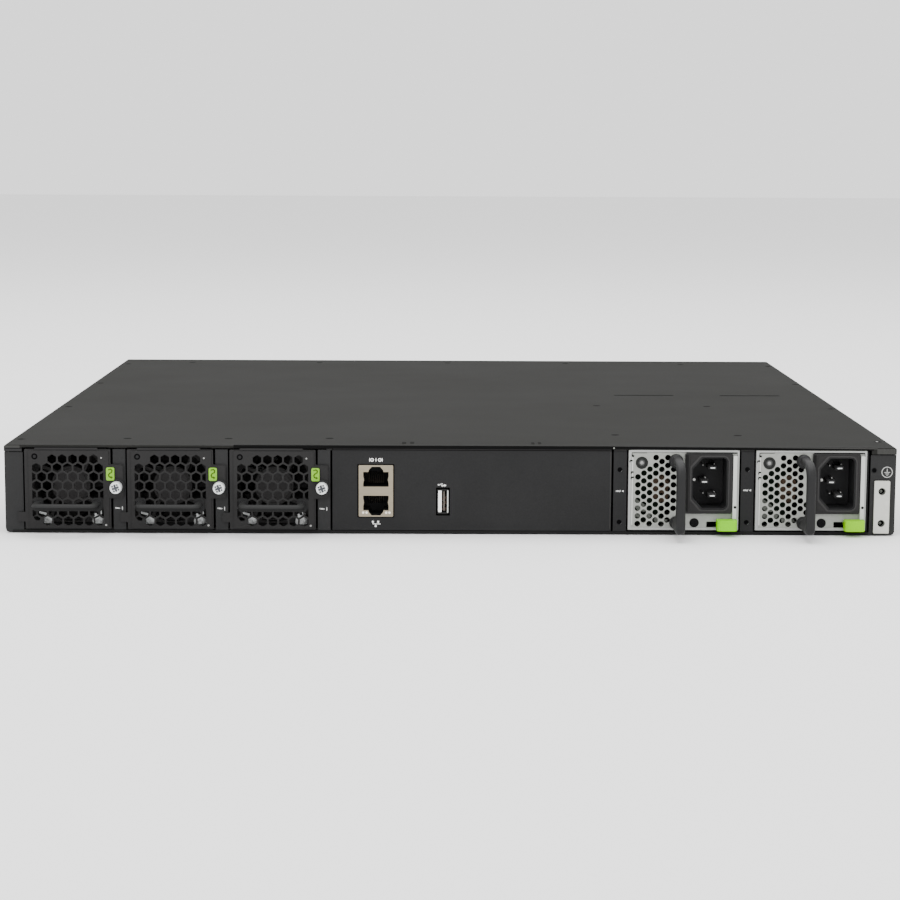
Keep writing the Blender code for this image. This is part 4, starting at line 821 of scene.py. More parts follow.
for k in (1, 2):
    t, body = f"psu{k}_", f"power_supply_{k}"
    x0, x1, y0, y1, z0, z1 = mm_box(t + "case")
    keep(t + "case", ZINC, 0.28, 2, 40)
    fbx = mm_box(t + "face")
    fy0, fy1 = fbx[2], fbx[3]
    ib = mm_box(t + "inlet")
    cx, cz = (ib[0] + ib[1]) / 2, 25.85
    # perforated face with lens, screw, latch and connector openings
    holes = []
    for col, (first, count) in enumerate(((28.7, 7), (30.65, 7), (32.6, 8), (38.4, 9), (36.45, 9), (38.4, 9), (32.6, 6), (15.05, 2))):
        for i in range(count):
            holes.append(circle(x0 + 4.7 + 2.93 * col, first - 3.9 * i, 1.46, 14, 0.5))
    holes.append(circle(x0 + 6.5, 35.8, 3.05, 32))
    holes.append(circle(x0 + 32.8, 5.9, 2.35, 28))
    holes.append(rect(cx - 10.9, cx + 10.9, 11.2, 40.4))
    holes.append(rrect(x0 + 38.9, x1 - 1.8, 3.65, 6.5, 0.3, 2))
    s = Shape()
    s.prism(rrect(fbx[0], fbx[1], fbx[4], fbx[5], 0.3, 2), fy0, fy1, "Y", holes=holes)
    s.build(t + "face_plate", ZINC, body, "zinc_steel", bevel=0.1, seg=2, angle=40, replaces=(t + "face",))
    # folded rim, proud of the face, with the small slots of the left edge
    s = Shape()
    s.prism(rrect(x0 + 0.02, x1 - 0.02, z0 + 0.02, z1 + (0.1 if k == 1 else -0.08), 1.1, 4), y0 - 0.04, y0 + 0.5, "Y", holes=[rrect(x0 + 1.4, x1 - 1.2, z0 + 1.2, z1 - 0.95, 0.5, 3)])
    s.build(t + "folded_rim", RIM, body, "zinc_steel", bevel=0.15, seg=2, angle=40)
    # inner fold of the face: a strip made bright as a painted highlight
    s = Shape()
    s.prism(rrect(x0 + 1.6, x0 + 2.2, z0 + 2.4, z1 - 3.4, 0.2, 2), fy0 - 0.2, fy0 + 0.1, "Y")
    s.build(t + "inner_fold", ZINC_PAINTED_HIGHLIGHT, body, "zinc_steel", bevel=0.1, seg=2, angle=40)
    s = Shape()
    s.box(x0 + 1.5, x0 + 9.0, fy0 - 0.03, fy0 + 0.05, z1 - 1.5, z1 - 1.28)
    s.box(x0 + 1.35, x0 + 1.6, fy0 - 0.03, fy0 + 0.05, z1 - 2.9, z1 - 1.3)
    s.prism([(x0 + 28.2, z1 - 0.95), (x1 - 1.0, z1 - 0.95), (x1 - 1.0, z1 - 1.5), (x0 + 29.2, z1 - 1.5)], y0 - 0.08, fy0 + 0.05, "Y")
    s.box(x1 - 1.02, x1 - 0.86, y0 - 0.06, y0 + 0.05, z0 + 5.5, z1 - 1.5)
    s.build(t + "fold_lines", VOID, body)
    s = Shape()
    for z, a, b in ((39.2, 1.4, 2.6), (36.9, 0.5, 1.9), (31.2, 1.1, 2.4), (28.6, 1.1, 2.6)):
        s.prism(rrect(x0 + a, x0 + b, z - 0.36, z + 0.36, 0.2, 2), y0 - 0.08, y0 + 0.6, "Y")
    for z, a in ((39.7, 1.3), (36.4, 0.3), (30.6, 1.0), (28.0, 1.0)):
        s.prism(rrect(x0 + a, x0 + a + 0.5, z - 0.4, z + 0.4, 0.12, 2), y0 - 0.08, y0 + 0.6, "Y")
    s.build(t + "rim_slots", VOID, body)
    # return flange at the inlet's right, made bright as a painted highlight, with its small hole backed by a dark disc
    # of painted shade
    s = Shape()
    s.prism(rounded([(x1 - 3.1, z0 + 5.8), (x1 - 1.15, z0 + 5.8), (x1 - 1.15, z1 - 2.6), (x1 - 3.1, z1 - 2.6)], 0.2, 2), -2.3, fy0 + 0.1, "Y", holes=[circle(x1 - 1.95, 14.0, 0.72, 16)])
    s.use(1)
    s.lathe([(0.0, -2.1), (0.74, -2.1), (0.74, -1.2), (0.0, -1.2)], (x1 - 1.95, 14.0), "Y", 16)
    s.build(t + "return_flange", [ZINC_PAINTED_HIGHLIGHT, VOID], body, "zinc_steel", bevel=0.12, seg=2, angle=40)
    # status lens in its bezel
    s = Shape()
    s.lathe([(1.75, fy0 + 0.2), (1.75, fy0 - 0.2), (2.0, fy0 - 0.5), (2.75, fy0 - 0.5), (3.05, fy0 - 0.15), (3.08, fy0 + 0.9), (1.75, fy0 + 0.9)], (x0 + 6.5, 35.8), "Y", 40, loop=True)
    s.build(t + "lens_bezel", RING, body, "black_plastic", smooth=35)
    # clear lens drawn as a light centre inside a darker ring; the ring's dark tone is painted shade
    s = Shape()
    s.use(0)
    s.lathe([(1.0, fy0 - 0.1), (1.4, fy0 - 0.12), (1.77, fy0 + 0.1), (1.77, fy0 + 4.0), (1.0, fy0 + 4.0)], (x0 + 6.5, 35.8), "Y", 32, loop=True)
    s.use(1)
    s.lathe([(0.0, fy0 - 0.5), (0.4, fy0 - 0.45), (0.75, fy0 - 0.3), (1.02, fy0), (1.02, fy0 + 4.0), (0.0, fy0 + 4.0)], (x0 + 6.5, 35.8), "Y", 32)
    s.build(t + "status_lens", [LENS_EDGE_PAINTED_SHADE, LENS], body, "lens", smooth=50, replaces=(t + "led",))
    # black screw beside the latch
    s = Shape()
    pan_screw(s, x0 + 32.8, 5.9, 2.3, fy0 + 0.1, 0.55)
    s.build(t + "face_screw", BLACK_SCREW, body, "black_plastic", smooth=35)
    # inlet: raised bezel with a stepped lip, deep keyed cavity; the ring round the cavity is a lighter copy of the
    # moulding as painted highlight, and a dark strip on the left edge is the handle's painted shadow
    s = Shape()
    bez = rrect(ib[0] - 0.9, ib[1], ib[4], ib[5], 0.9, 4)
    s.prism(bez, ib[2] + 0.35, -0.5, "Y", holes=[inlet_cavity(cx, cz, 0.55)])
    s.prism(rrect(ib[0] + 1.5, ib[1] - 0.3, ib[4] + 1.3, ib[5] - 0.8, 1.2, 4), ib[2] + 0.12, ib[2] + 0.6, "Y", holes=[inlet_cavity(cx, cz, 0.75)])
    s.use(1)
    s.prism(inlet_cavity(cx, cz, 1.35), ib[2], ib[2] + 0.5, "Y", holes=[inlet_cavity(cx, cz, 0.7)])
    s.use(2)
    s.prism(rrect(ib[0] - 0.75, ib[0] + 0.75, ib[4] + 1.0, ib[5] - 0.6, 0.3, 2), ib[2] + 0.32, ib[2] + 0.6, "Y")
    s.build(t + "inlet_bezel", [BEZEL, BEZEL_LIP_PAINTED_HIGHLIGHT, BEZEL_PAINTED_HANDLE_SHADOW], body, "black_plastic", bevel=0.22, seg=3, angle=30)
    s = Shape()
    s.pocketed(rrect(cx - 10.4, cx + 10.4, 11.7, 39.9, 0.6), [inlet_cavity(cx, cz)], ib[2] + 0.7, 14.2, 16.9, "Y")
    s.build(t + "inlet_body", CAVITY, body, "black_plastic", bevel=0.15, seg=2, angle=30, replaces=(t + "inlet",))
    # three flat blades with chamfered ends, each with a bright strip on its end as a painted glint, and the small
    # bright pieces round them
    s = Shape()
    s.use(0)
    for px, pz in ((cx + 2.0, cz + 7.0), (cx - 2.0, cz), (cx + 2.0, cz - 7.0)):
        y = 3.25
        a = [(px - 2.0, pz - 1.0), (px + 2.0, pz - 1.0), (px + 2.0, pz + 1.0), (px - 2.0, pz + 1.0)]
        b = [(px + (u - px) * 0.62, pz + (v - pz) * 0.45) for u, v in a]
        pts = [(u, y, v) for u, v in b] + [(u, y + 1.2, v) for u, v in a] + [(u, 16.0, v) for u, v in a]
        faces = [(3, 2, 1, 0), (8, 9, 10, 11)]
        for q in (0, 4):
            faces += [(q + i, q + (i + 1) % 4, q + 4 + (i + 1) % 4, q + 4 + i) for i in range(4)]
        s.add(pts, faces)
    s.use(1)
    for px, pz in ((cx + 2.0, cz + 7.0), (cx - 2.0, cz), (cx + 2.0, cz - 7.0)):
        s.prism(rrect(px - 1.2, px + 1.2, pz - 0.28, pz + 0.28, 0.2, 2), 3.14, 3.5, "Y")
    s.build(t + "inlet_blades", [BLADE, BRIGHT_PLATE_AND_GLINT], body, "pins", bevel=0.05, seg=1, angle=30, replaces=(t + "inlet_pins",))
    # the small bright pieces: dull heads on thin dark posts, placed as painted glints
    s = Shape()
    for gx, gz, gr in ((x0 + 37.4, 33.9, 0.36), (x0 + 43.1, 34.4, 0.36), (x0 + 38.6, 27.6, 0.42), (x0 + 37.7, 19.8, 0.32), (x0 + 43.2, 20.4, 0.32)):
        s.use(1)
        s.lathe([(0.0, 6.5), (gr * 0.8, 6.5), (gr * 0.8, 14.4), (0.0, 14.4)], (gx, gz), "Y", 10)
        s.use(0)
        s.lathe([(0.0, 5.9), (gr * 0.7, 6.0), (gr, 6.3), (gr, 6.8), (0.0, 6.8)], (gx, gz), "Y", 14)
    s.use(1)
    s.lathe([(0.0, ib[2] + 1.4), (0.7, ib[2] + 1.4), (0.7, ib[2] + 2.4), (0.0, ib[2] + 2.4)], (x0 + 32.3, 27.6), "Y", 18)
    s.use(0)
    s.lathe([(0.0, ib[2] + 0.9), (0.5, ib[2] + 0.95), (0.75, ib[2] + 1.3), (0.75, ib[2] + 1.6), (0.0, ib[2] + 1.6)], (x0 + 32.3, 27.6), "Y", 18)
    s.build(t + "inlet_glint_posts", [DULL_PAINTED_GLINT, CAVITY], body, "pins", smooth=50)
    # moulded pull handle: a D whose lower corner is webbed, on two round feet
    hb = mm_box(t + "handle")
    hx = (hb[0] + hb[1]) / 2
    outer = [(-0.62, 39.3), (-5.0, 39.25), (-11.0, 39.15), (-16.5, 39.0), (-19.2, 38.35), (-21.6, 37.2), (-23.4, 35.4), (-24.6, 33.2), (-25.0, 30.8), (-25.0, 25.0), (-25.0, 19.0), (-25.0, 15.5), (-25.0, 11.0), (-25.0, 7.6), (-24.85, 5.9), (-24.3, 4.6), (-22.8, 3.75), (-20.0, 3.7), (-16.0, 3.72), (-11.0, 3.76), (-6.0, 3.8), (-3.0, 3.85), (-0.62, 3.9)]
    inner = [(-0.62, 35.6), (-5.0, 35.52), (-11.0, 35.35), (-16.2, 35.2), (-17.6, 34.8), (-18.9, 34.2), (-19.8, 33.3), (-20.5, 32.2), (-20.8, 30.8), (-20.8, 25.0), (-20.8, 19.0), (-20.75, 16.2), (-20.3, 14.6), (-19.4, 13.7), (-18.6, 13.3), (-17.6, 12.95), (-15.8, 12.15), (-14.0, 11.35), (-12.0, 10.55), (-9.5, 9.75), (-6.0, 8.6), (-3.0, 8.0), (-0.62, 7.4)]
    s = Shape()
    pts, rings = [], []
    for (oy, oz), (ny, nz) in zip(outer, inner):
        h = math.hypot(oy - ny, oz - nz) / 2
        dy, dz = (oy - ny) / (2 * h), (oz - nz) / (2 * h)
        sec = rounded(rect(-2.3, 2.3, -h, h), min(1.55, h * 0.85), 5)
        rings.append(len(pts))
        pts += [(hx + u, (oy + ny) / 2 + dy * v, (oz + nz) / 2 + dz * v) for u, v in sec]
    m = len(sec)
    faces = [tuple(range(m)), tuple(reversed(range(rings[-1], rings[-1] + m)))]
    for a, b in zip(rings, rings[1:]):
        faces += [(a + i, a + (i + 1) % m, b + (i + 1) % m, b + i) for i in range(m)]
    s.add(pts, faces)
    for dx, zc, g in ((-0.25, 36.75, 1.11), (0.0, 6.05, 1.0)):
        s.lathe([(0.0, -0.65), (3.2 * g, -0.65), (3.22 * g, -1.5), (3.1 * g, -2.3), (2.75 * g, -3.1), (2.0 * g, -3.7), (0.0, -3.8)], (hx + dx, zc), "Y", 36)
    s.build(t + "pull_handle", HANDLE_PLASTIC, body, "black_plastic", smooth=42, replaces=(t + "handle",))
    # release latch: soft moulded tab with grip ribs, arm through the slot
    lb = mm_box(t + "latch")
    lx0, lx1, ly0, lz0, lz1 = lb[0], lb[1], lb[2], lb[4], lb[5]
    lx1 -= 0.7
    lime = (LIME, LIME_WARM)[k - 1]
    s = Shape()
    s.prism(rounded([(lx0, -0.9), (lx0, ly0 + 0.6), (lx0 + 1.8, ly0), (lx1 - 1.2, ly0), (lx1, ly0 + 1.2), (lx1, -0.9)], [0.4, 1.8, 2.4, 1.6, 1.6, 0.3], 5), lz0, lz1, "Z")
    s.build(t + "latch_tab", lime, t + "latch_body", "green_plastic", bevel=1.3, seg=5, angle=40, smooth=30, replaces=(t + "latch",))
    s = Shape()
    for i in range(3):
        gx = lx0 + 3.4 + 1.75 * i
        s.prism(rrect(gx - 0.3, gx + 0.3, lz0 + 1.5, lz1 - 1.5, 0.25, 3), ly0 + 0.02, ly0 + 0.5, "Y")
    lx1 += 0.7
    s.box(lx0 + 0.9, lx1 - 1.7, -1.3, 8.6, 4.05, 6.1)
    s.prism([(lx1 - 3.1, 8.0), (lx1 - 1.75, 8.0), (lx1 - 1.75, 38.0), (lx1 - 2.4, 40.0), (lx1 - 3.1, 40.0)], 4.05, 6.1, "Z")
    s.build(t + "latch_arm", lime, t + "latch_body", "green_plastic", bevel=0.15, seg=2)
    # slot shade behind the latch
    s = Shape()
    s.pocketed(rect(x0 + 38.2, x1 - 1.1, 3.2, 7.1), [rect(x0 + 38.9, x1 - 1.8, 3.65, 6.5)], fy1 + 0.05, 7.2, 7.7, "Y")
    s.build(t + "slot_liner", VOID, body)
    # parts of the line filter just behind the perforations
    s = Shape()
    s.use(0)
    s.box(x0 + 2.6, x0 + 17.5, 9.6, 11.0, 3.8, 33.0)
    s.use(1)
    for zc, r in ((24.6, 3.0), (19.6, 2.6)):
        s.lathe([(r - 1.5, 2.6), (r, 2.2), (r + 1.3, 2.8), (r + 1.7, 4.0), (r + 1.3, 5.2), (r, 5.8), (r - 1.5, 5.4)], (x0 + 16.2, zc), "Y", 28, loop=True)
    s.use(2)
    s.prism(rounded([(x0 + 2.6, 18.4), (x0 + 2.6, 14.0), (x0 + 5.2, 11.4), (x0 + 9.4, 10.8), (x0 + 8.4, 14.6)], 0.8, 2), 2.4, 3.2, "Y")
    s.prism(rounded([(x0 + 3.0, 10.2), (x0 + 3.4, 8.4), (x0 + 7.4, 7.4), (x0 + 6.6, 9.8)], 0.6, 2), 2.4, 3.2, "Y")
    s.prism(rounded([(x0 + 9.2, 11.4), (x0 + 12.0, 11.8), (x0 + 11.4, 7.2), (x0 + 9.6, 8.0)], 0.7, 2), 2.6, 3.4, "Y")
    s.prism(rounded([(x0 + 13.2, 8.0), (x0 + 20.4, 7.0), (x0 + 19.6, 5.8), (x0 + 13.4, 5.6)], 0.6, 2), 2.6, 3.4, "Y")
    s.build(t + "filter_parts", [FILTER_BOARD, COPPER, FOIL], body, bevel=0.15, seg=1)
    # fan behind the perforations
    fb = mm_box(t + "fan_frame")
    axial_frame(t + "fan_housing", (fb[0], fb[1]), (fb[4], fb[5]), (fb[2], fb[3]), 17.4, 9.0, t + "fan_frame", body, (fb[3] - 2.6, fb[3]), screw=16.0)
    rb = mm_box(t + "fan_rotor")
    axial_rotor(t + "fan_impeller", ((rb[0] + rb[1]) / 2, (rb[4] + rb[5]) / 2), rb[2], rb[3], 8.8, 16.4, 7, t + "fan_rotor_body", t + "fan_rotor")
    # wound parts, capacitors and heat plates on the supply's board
    keep(t + "board", BOARD, 0.15, 1)
    s = Shape()
    s.prism(rrect(x0 + 9.0, x0 + 39.0, 59.2, 92.8, 1.0), 12.0, 33.0, "Z")
    s.build(t + "transformer", YELLOW_TAPE, body, bevel=0.8, seg=3)
    s = Shape()
    for cxx, cyy, r in ((x0 + 25.0, 160.0, 9.6), (x0 + 22.0, 185.0, 7.5), (x0 + 31.0, 205.0, 5.5)):
        s.lathe([(0.0, 36.6), (r * 0.8, 36.6), (r, 35.9), (r, 34.0), (r * 0.94, 33.5), (r, 33.0), (r, 8.4), (0.0, 8.4)], (cxx, cyy), "Z", 32)
    s.build(t + "capacitors", BLUE, body, smooth=35)
    s = Shape()
    for a, b in ((x0 + 5.4, x0 + 10.6), (x0 + 39.4, x0 + 44.6)):
        for i in range(12):
            y = 139.0 + 5.2 * i
            s.box(a, b, y, y + 1.4, 9.0, 36.4)
        s.box(a + 1.8, b - 1.8, 138.0, 200.4, 8.6, 36.2)
    s.build(t + "heat_plates", ALU, body, bevel=0.2, seg=1)
    # gold edge of the rear tongue
    s = Shape()
    mid = (x0 + x1) / 2
    for i in range(12):
        px = mid - 16.5 + 3.0 * i
        for z in (8.1, 6.45):
            s.box(px - 0.95, px + 0.95, 223.0, 231.4, z, z + 0.05)
    s.build(t + "edge_contacts", GOLD, body, "pins")
    # rear wall of the supply, with its vent field and the tongue's slot
    s = Shape()
    vents = [rounded(circle(x0 + 6.0 + 4.2 * i + (2.1 if j % 2 else 0.0), 15.6 + 3.64 * j, 1.75, 6, 0.5), 0.4, 2) for j in range(7) for i in range(11) if x0 + 6.0 + 4.2 * i + (2.1 if j % 2 else 0.0) < x1 - 4.5]
    s.prism(rrect(x0 + 0.9, x1 - 0.9, z0 + 0.9, z1 - 0.9, 0.4, 2), y1 - 1.1, y1 - 0.2, "Y", holes=vents + [rrect(mid - 19.5, mid + 19.5, 5.2, 9.4, 0.5, 3)])
    s.build(t + "rear_wall", ZINC, body, "zinc_steel", bevel=0.12, seg=1, angle=40)
    # screws along the case's sides and lid
    s = Shape()
    for yy in (12.0, 80.0, 150.0, 214.0):
        for xx in (x0 + 6.0, x1 - 6.0):
            s.lathe([(0.0, z1 - 0.12), (0.6, z1 - 0.12), (0.7, z1 + 0.1), (1.9, z1 + 0.1), (2.1, z1 - 0.02), (2.1, z1 - 0.3), (0.0, z1 - 0.3)], (xx, yy), "Z", 24)
    s.build(t + "lid_screws", ZINC_IN, body, smooth=35)


# =========================================================================
# cover, side walls and underside
# =========================================================================
keep("top_cover", COVER, 0.35, 3)
ct = mm_box("top_cover")
TOP = ct[5]


def flush_rivet(s, x, y, z, r=1.7, axis="Z", sign=1):
    """Low domed rivet, proud by less than a quarter of a millimetre."""
    s.lathe([(0.0, z + sign * 0.22), (r * 0.35, z + sign * 0.21), (r * 0.7, z + sign * 0.14), (r * 0.92, z + sign * 0.04), (r, z - sign * 0.05), (0.0, z - sign * 0.1)], (x, y), axis, 24)
    return s


def ring_mark(s, x, y, z, r, w=0.3, axis="Z", sign=1):
    """Shallow pressed ring round a fastener."""
    s.lathe([(r, z - sign * 0.05), (r, z + sign * 0.05), (r + w / 2, z + sign * 0.08), (r + w, z + sign * 0.05), (r + w, z - sign * 0.05)], (x, y), axis, 28, loop=True)
    return s


# flat dark discs for the cover's rivets, their near-black tone painted shade
s = Shape()
for x, y in ((-162.6, 25.0), (-111.9, 26.0), (-61.1, 28.3), (84.6, 46.0), (147.5, 45.5), (84.0, 175.0), (146.8, 174.0)):
    s.lathe([(0.0, TOP + 0.05), (1.5, TOP + 0.05), (2.0, TOP + 0.03), (2.15, TOP - 0.02), (0.0, TOP - 0.05)], (x, y), "Z", 28)
for x, y in ((-173.0, 420.0), (-87.0, 423.0), (0.0, 423.0), (158.0, 419.0), (80.0, 423.0)):
    s.lathe([(0.0, TOP + 0.05), (1.5, TOP + 0.05), (2.0, TOP + 0.03), (2.15, TOP - 0.02), (0.0, TOP - 0.05)], (x, y), "Z", 28)
s.build("cover_rivets", surface("rivet_dark", (0.0065, 0.0065, 0.0062), 0.75, mottle=0.15, specular=0.01), "chassis", "black_steel", smooth=50)
s = Shape()
s.use(1)
for x, y, w in ((-23.2, 11.5, 1.0), (-19.2, 12.5, 1.0), (40.9, 12.0, 0.8), (44.3, 13.0, 0.8)):
    s.prism(rrect(x - w, x + w, y - 3.8, y + 3.8, 0.5, 3), TOP - 0.05, TOP + 0.04, "Z")
s.use(0)
for x in (mm_box("psu1_case")[0], mm_box("psu2_case")[0]):
    s.prism(rrect(x + 10.6, x + 45.4, 228.7, 229.7, 0.4, 3), TOP - 0.7, TOP - 0.35, "Z")
    s.prism(rrect(x + 10.0, x + 46.0, 227.7, 230.7, 1.4, 5), TOP - 0.05, TOP + 0.03, "Z", holes=[rrect(x + 10.6, x + 45.4, 228.75, 229.65, 0.4, 3)])
s.build("cover_press_marks", [surface("press_shade", (0.0080, 0.0080, 0.0076), 0.75, mottle=0.15, specular=0.01), surface("press_shade_light", (0.0108, 0.0108, 0.0102), 0.75, mottle=0.15, specular=0.01)], "chassis")
# cover screws as dark heads whose near-black tone is painted shade, one with a painted glint
s = Shape()
for x, y in ((214.9, 22.7), (-215.3, 21.2), (-214.5, 161.0), (-215.4, 286.0), (215.9, 164.0), (216.4, 294.0), (216.0, 408.0), (-215.0, 408.0)):
    s.use(0)
    s.lathe([(0.0, TOP + 0.0), (0.62, TOP + 0.0), (0.8, TOP + 0.1), (1.8, TOP + 0.09), (2.1, TOP + 0.01), (2.1, TOP - 0.2), (0.0, TOP - 0.2)], (x, y), "Z", 28,
            radius=lambda a, q, h: q * (1.0 + (0.6 * abs(math.cos(2 * a)) ** 6 if q < 0.9 else 0.0)))
    if (x, y) == (214.9, 22.7):
        s.use(1)
        s.lathe([(0.0, TOP + 0.2), (0.5, TOP + 0.19), (0.75, TOP + 0.1), (0.75, TOP + 0.0), (0.0, TOP + 0.0)], (x - 0.3, y), "Z", 20)
s.build("cover_screws", [surface("screw_dark", (0.0075, 0.0075, 0.0072), 0.7, mottle=0.1, specular=0.02), surface("screw_glint", (0.30, 0.30, 0.29), 0.4, metal=0.3, mottle=0.1, specular=0.3)], "chassis", "black_steel", smooth=35)

# cover's rear return: thin lip below the edge, with the gap's shadow behind it
s = Shape()
s.prism(rounded([(ct[0] + 0.9, 41.9), (-58.8, 41.9), (-58.8, 42.45), (ct[0] + 0.9, 42.45)], 0.1, 1), 1.4, 2.4, "Y")
s.build("cover_inner_lip_left", BLACK, "chassis", "black_steel")

# painted shadow strips under the cover's rear edge and along its gaps, panel edges that meet it, painted highlights on
# the cover's edge and corners, corner shadow lines and painted shade on the base's lower lip
s = Shape()
s.prism(rrect(-107.0, 80.4, ct[2] - 0.10, ct[2] + 0.3, 0.05, 1), 42.35, 43.92, "Z")
s.build("cover_hem_painted_shadow", GAP_PAINTED_SHADOW, "chassis", "black_steel", bevel=0.06, seg=1)
s = Shape()
for a, b in ((-210.0, -168.2), (-159.6, -117.6), (-109.0, -106.9)):
    s.box(a, b, ct[2] - 0.07, ct[2] + 0.2, 42.3, 42.62)
s.prism([(80.3, 42.62), (122.0, 42.52), (162.0, 42.42), (208.6, 42.35), (208.6, 42.95), (187.0, 43.1), (162.0, 43.35), (122.0, 43.66), (80.3, 43.88)], ct[2] - 0.11, ct[2] + 0.2, "Y")
s.build("cover_gap_painted_shadows", GAP_PAINTED_SHADOW, "chassis", "black_steel")
# lighter strip on the cover's rounded rear edge: painted highlight
s = Shape()
s.prism(rrect(80.4, 210.4, 42.95, 43.5, 0.1, 1), ct[2] - 0.05, ct[2] + 0.1, "Y")
s.build("cover_lip_right", COVER_EDGE_PAINTED_HIGHLIGHT, "chassis", "black_steel")
s = Shape()
s.prism(rrect(-58.3, 79.3, 41.5, 42.3, 0.1, 1), iy - 0.0, 0.6, "Y")
s.prism(rrect(-61.0, -58.6, 41.4, 42.3, 0.1, 1), -0.1, 0.6, "Y")
s.prism(rrect(80.5, 86.9, 41.4, 42.3, 0.1, 1), 0.0, 0.6, "Y")
s.prism(rrect(143.2, 149.9, 41.4, 42.3, 0.1, 1), 0.0, 0.6, "Y")
s.build("panel_top_edges", FACE, "chassis", "black_steel")
# thin lighter line along the I/O panel's right edge: painted highlight
s = Shape()
s.box(78.75, 79.1, iy - 0.025, iy + 0.05, 2.4, 41.2)
s.build("panel_edge_light", surface("panel_edge_painted_highlight", (0.036, 0.036, 0.035), 0.6, mottle=0.15, specular=0.05), "chassis", "black_steel")
s = Shape()
s.box(-216.5, 207.0, -0.04, 0.05, 0.0, 1.32)
s.build("base_lip", LIP, "chassis", "black_steel")
s = Shape()
s.box(212.0, 218.6, -0.05, 0.05, 39.9, 40.3)
s.box(-219.2, -211.2, ct[2] - 0.06, ct[2] + 0.1, 41.75, 42.05)
s.build("corner_painted_shadow_lines", VOID, "chassis")
s = Shape()
s.box(-219.6, -211.2, ct[2] - 0.05, ct[2] + 0.1, 40.45, 41.75)
s.build("left_corner_face", FLANGE, "chassis", "black_steel")
# lighter pieces on the cover's corner lips: painted highlight
s = Shape()
s.prism(rrect(210.3, 219.5, 40.5, 43.2, 0.3, 2), ct[2] - 0.06, ct[2] + 0.1, "Y")
s.prism(rrect(-219.5, -212.2, 42.1, 43.35, 0.3, 2), ct[2] - 0.06, ct[2] + 0.1, "Y")
s.build("corner_lips", COVER_EDGE_PAINTED_HIGHLIGHT, "chassis", "black_steel")
s = Shape()
s.use(0)
ry = ct[2] - 0.12
s.lathe([(0.42, ry), (0.6, ry - 0.07), (0.8, ry + 0.02), (0.8, ry + 0.3), (0.42, ry + 0.3)], (80.4, 43.05), "Y", 20, loop=True)
s.use(1)
s.lathe([(0.0, ry - 0.08), (0.3, ry - 0.08), (0.44, ry), (0.44, ry + 0.3), (0.0, ry + 0.3)], (80.4, 43.05), "Y", 16)
s.build("seam_rivet", [VOID, ZINC_IN], "chassis", "black_steel", smooth=35)

# side walls: countersunk lid screws, ear inserts and a row of low rivets
for side, tag in ((-1, "left"), (1, "right")):
    X = 220.0 * side
    s = Shape()
    for y in (398.0, 424.0):
        for z in (9.0, 31.0):
            s.lathe([(1.75, X - side * 0.15), (2.1, X - side * 0.15), (2.1, X - side * 2.4), (1.75, X - side * 2.4)], (y, z), "X", 28, loop=True)
    for y in (30.0, 62.0):
        s.lathe([(1.75, X - side * 0.15), (2.1, X - side * 0.15), (2.1, X - side * 2.4), (1.75, X - side * 2.4)], (y, 20.0), "X", 28, loop=True)
    s.build(f"{tag}_ear_inserts", ZINC_IN, "chassis", "zinc_steel", smooth=35)
    s = Shape()
    for y in (16.0, 130.0, 250.0, 370.0, 432.0):
        s.lathe([(0.0, X - side * 0.02), (0.5, X - side * 0.02), (0.62, X + side * 0.12), (1.5, X + side * 0.1), (1.9, X), (1.9, X - side * 0.2), (0.0, X - side * 0.2)], (y, 36.5), "X", 28)
    s.build(f"{tag}_wall_screws", surface(f"{tag}_wall_screw_black", (0.03, 0.03, 0.03), 0.4, metal=0.2, mottle=0.1, specular=0.2), "chassis", "black_steel", smooth=35)
    s = Shape()
    for y in (100.0, 180.0, 260.0, 340.0):
        flush_rivet(s, y, 8.0, X, 1.8, "X", side)
    s.build(f"{tag}_wall_rivets", surface(f"{tag}_rivet_dark", (0.02, 0.02, 0.02), 0.45, mottle=0.1, specular=0.15), "chassis", "black_steel", smooth=50)

s = Shape()
for x in (-200.0, -66.0, 66.0, 200.0):
    for y in (20.0, 120.0, 235.0, 330.0, 425.0):
        s.lathe([(0.0, 0.25), (0.7, 0.25), (0.9, 0.03), (1.9, 0.03), (2.3, 0.12), (2.3, 0.4), (0.0, 0.4)], (x, y), "Z", 24)
s.build("underside_screws", surface("under_screw", (0.06, 0.06, 0.06), 0.35, metal=0.5, mottle=0.1), "chassis", "black_steel", smooth=35)
s = Shape()
for i in range(8):
    for j in range(3):
        x, y = -140 + 40 * i, 380 + 14 * j
        s.prism(rrect(x - 12, x + 12, y - 1.5, y + 1.5, 1.4, 4), -0.02 + 0.03, 0.3, "Z")
s.build("underside_slots", VOID, "chassis")

# =========================================================================
# port side
# =========================================================================
keep("front_panel", BLACK, 0.18, 2)
FP = mm_box("front_panel")[3]
for node in ("qsfp_cage_left", "qsfp_cage_right", "sfp_cage"):
    keep(node, ZINC, 0.15, 2)


def port_cells(a, pitch, w, cols):
    for row, (z0, z1) in enumerate(((9.0, 17.9), (20.7, 29.6))):
        for c in range(cols):
            x = a + 0.4 + pitch * (c + 0.5)
            yield x - w / 2, x + w / 2, z0, z1, row


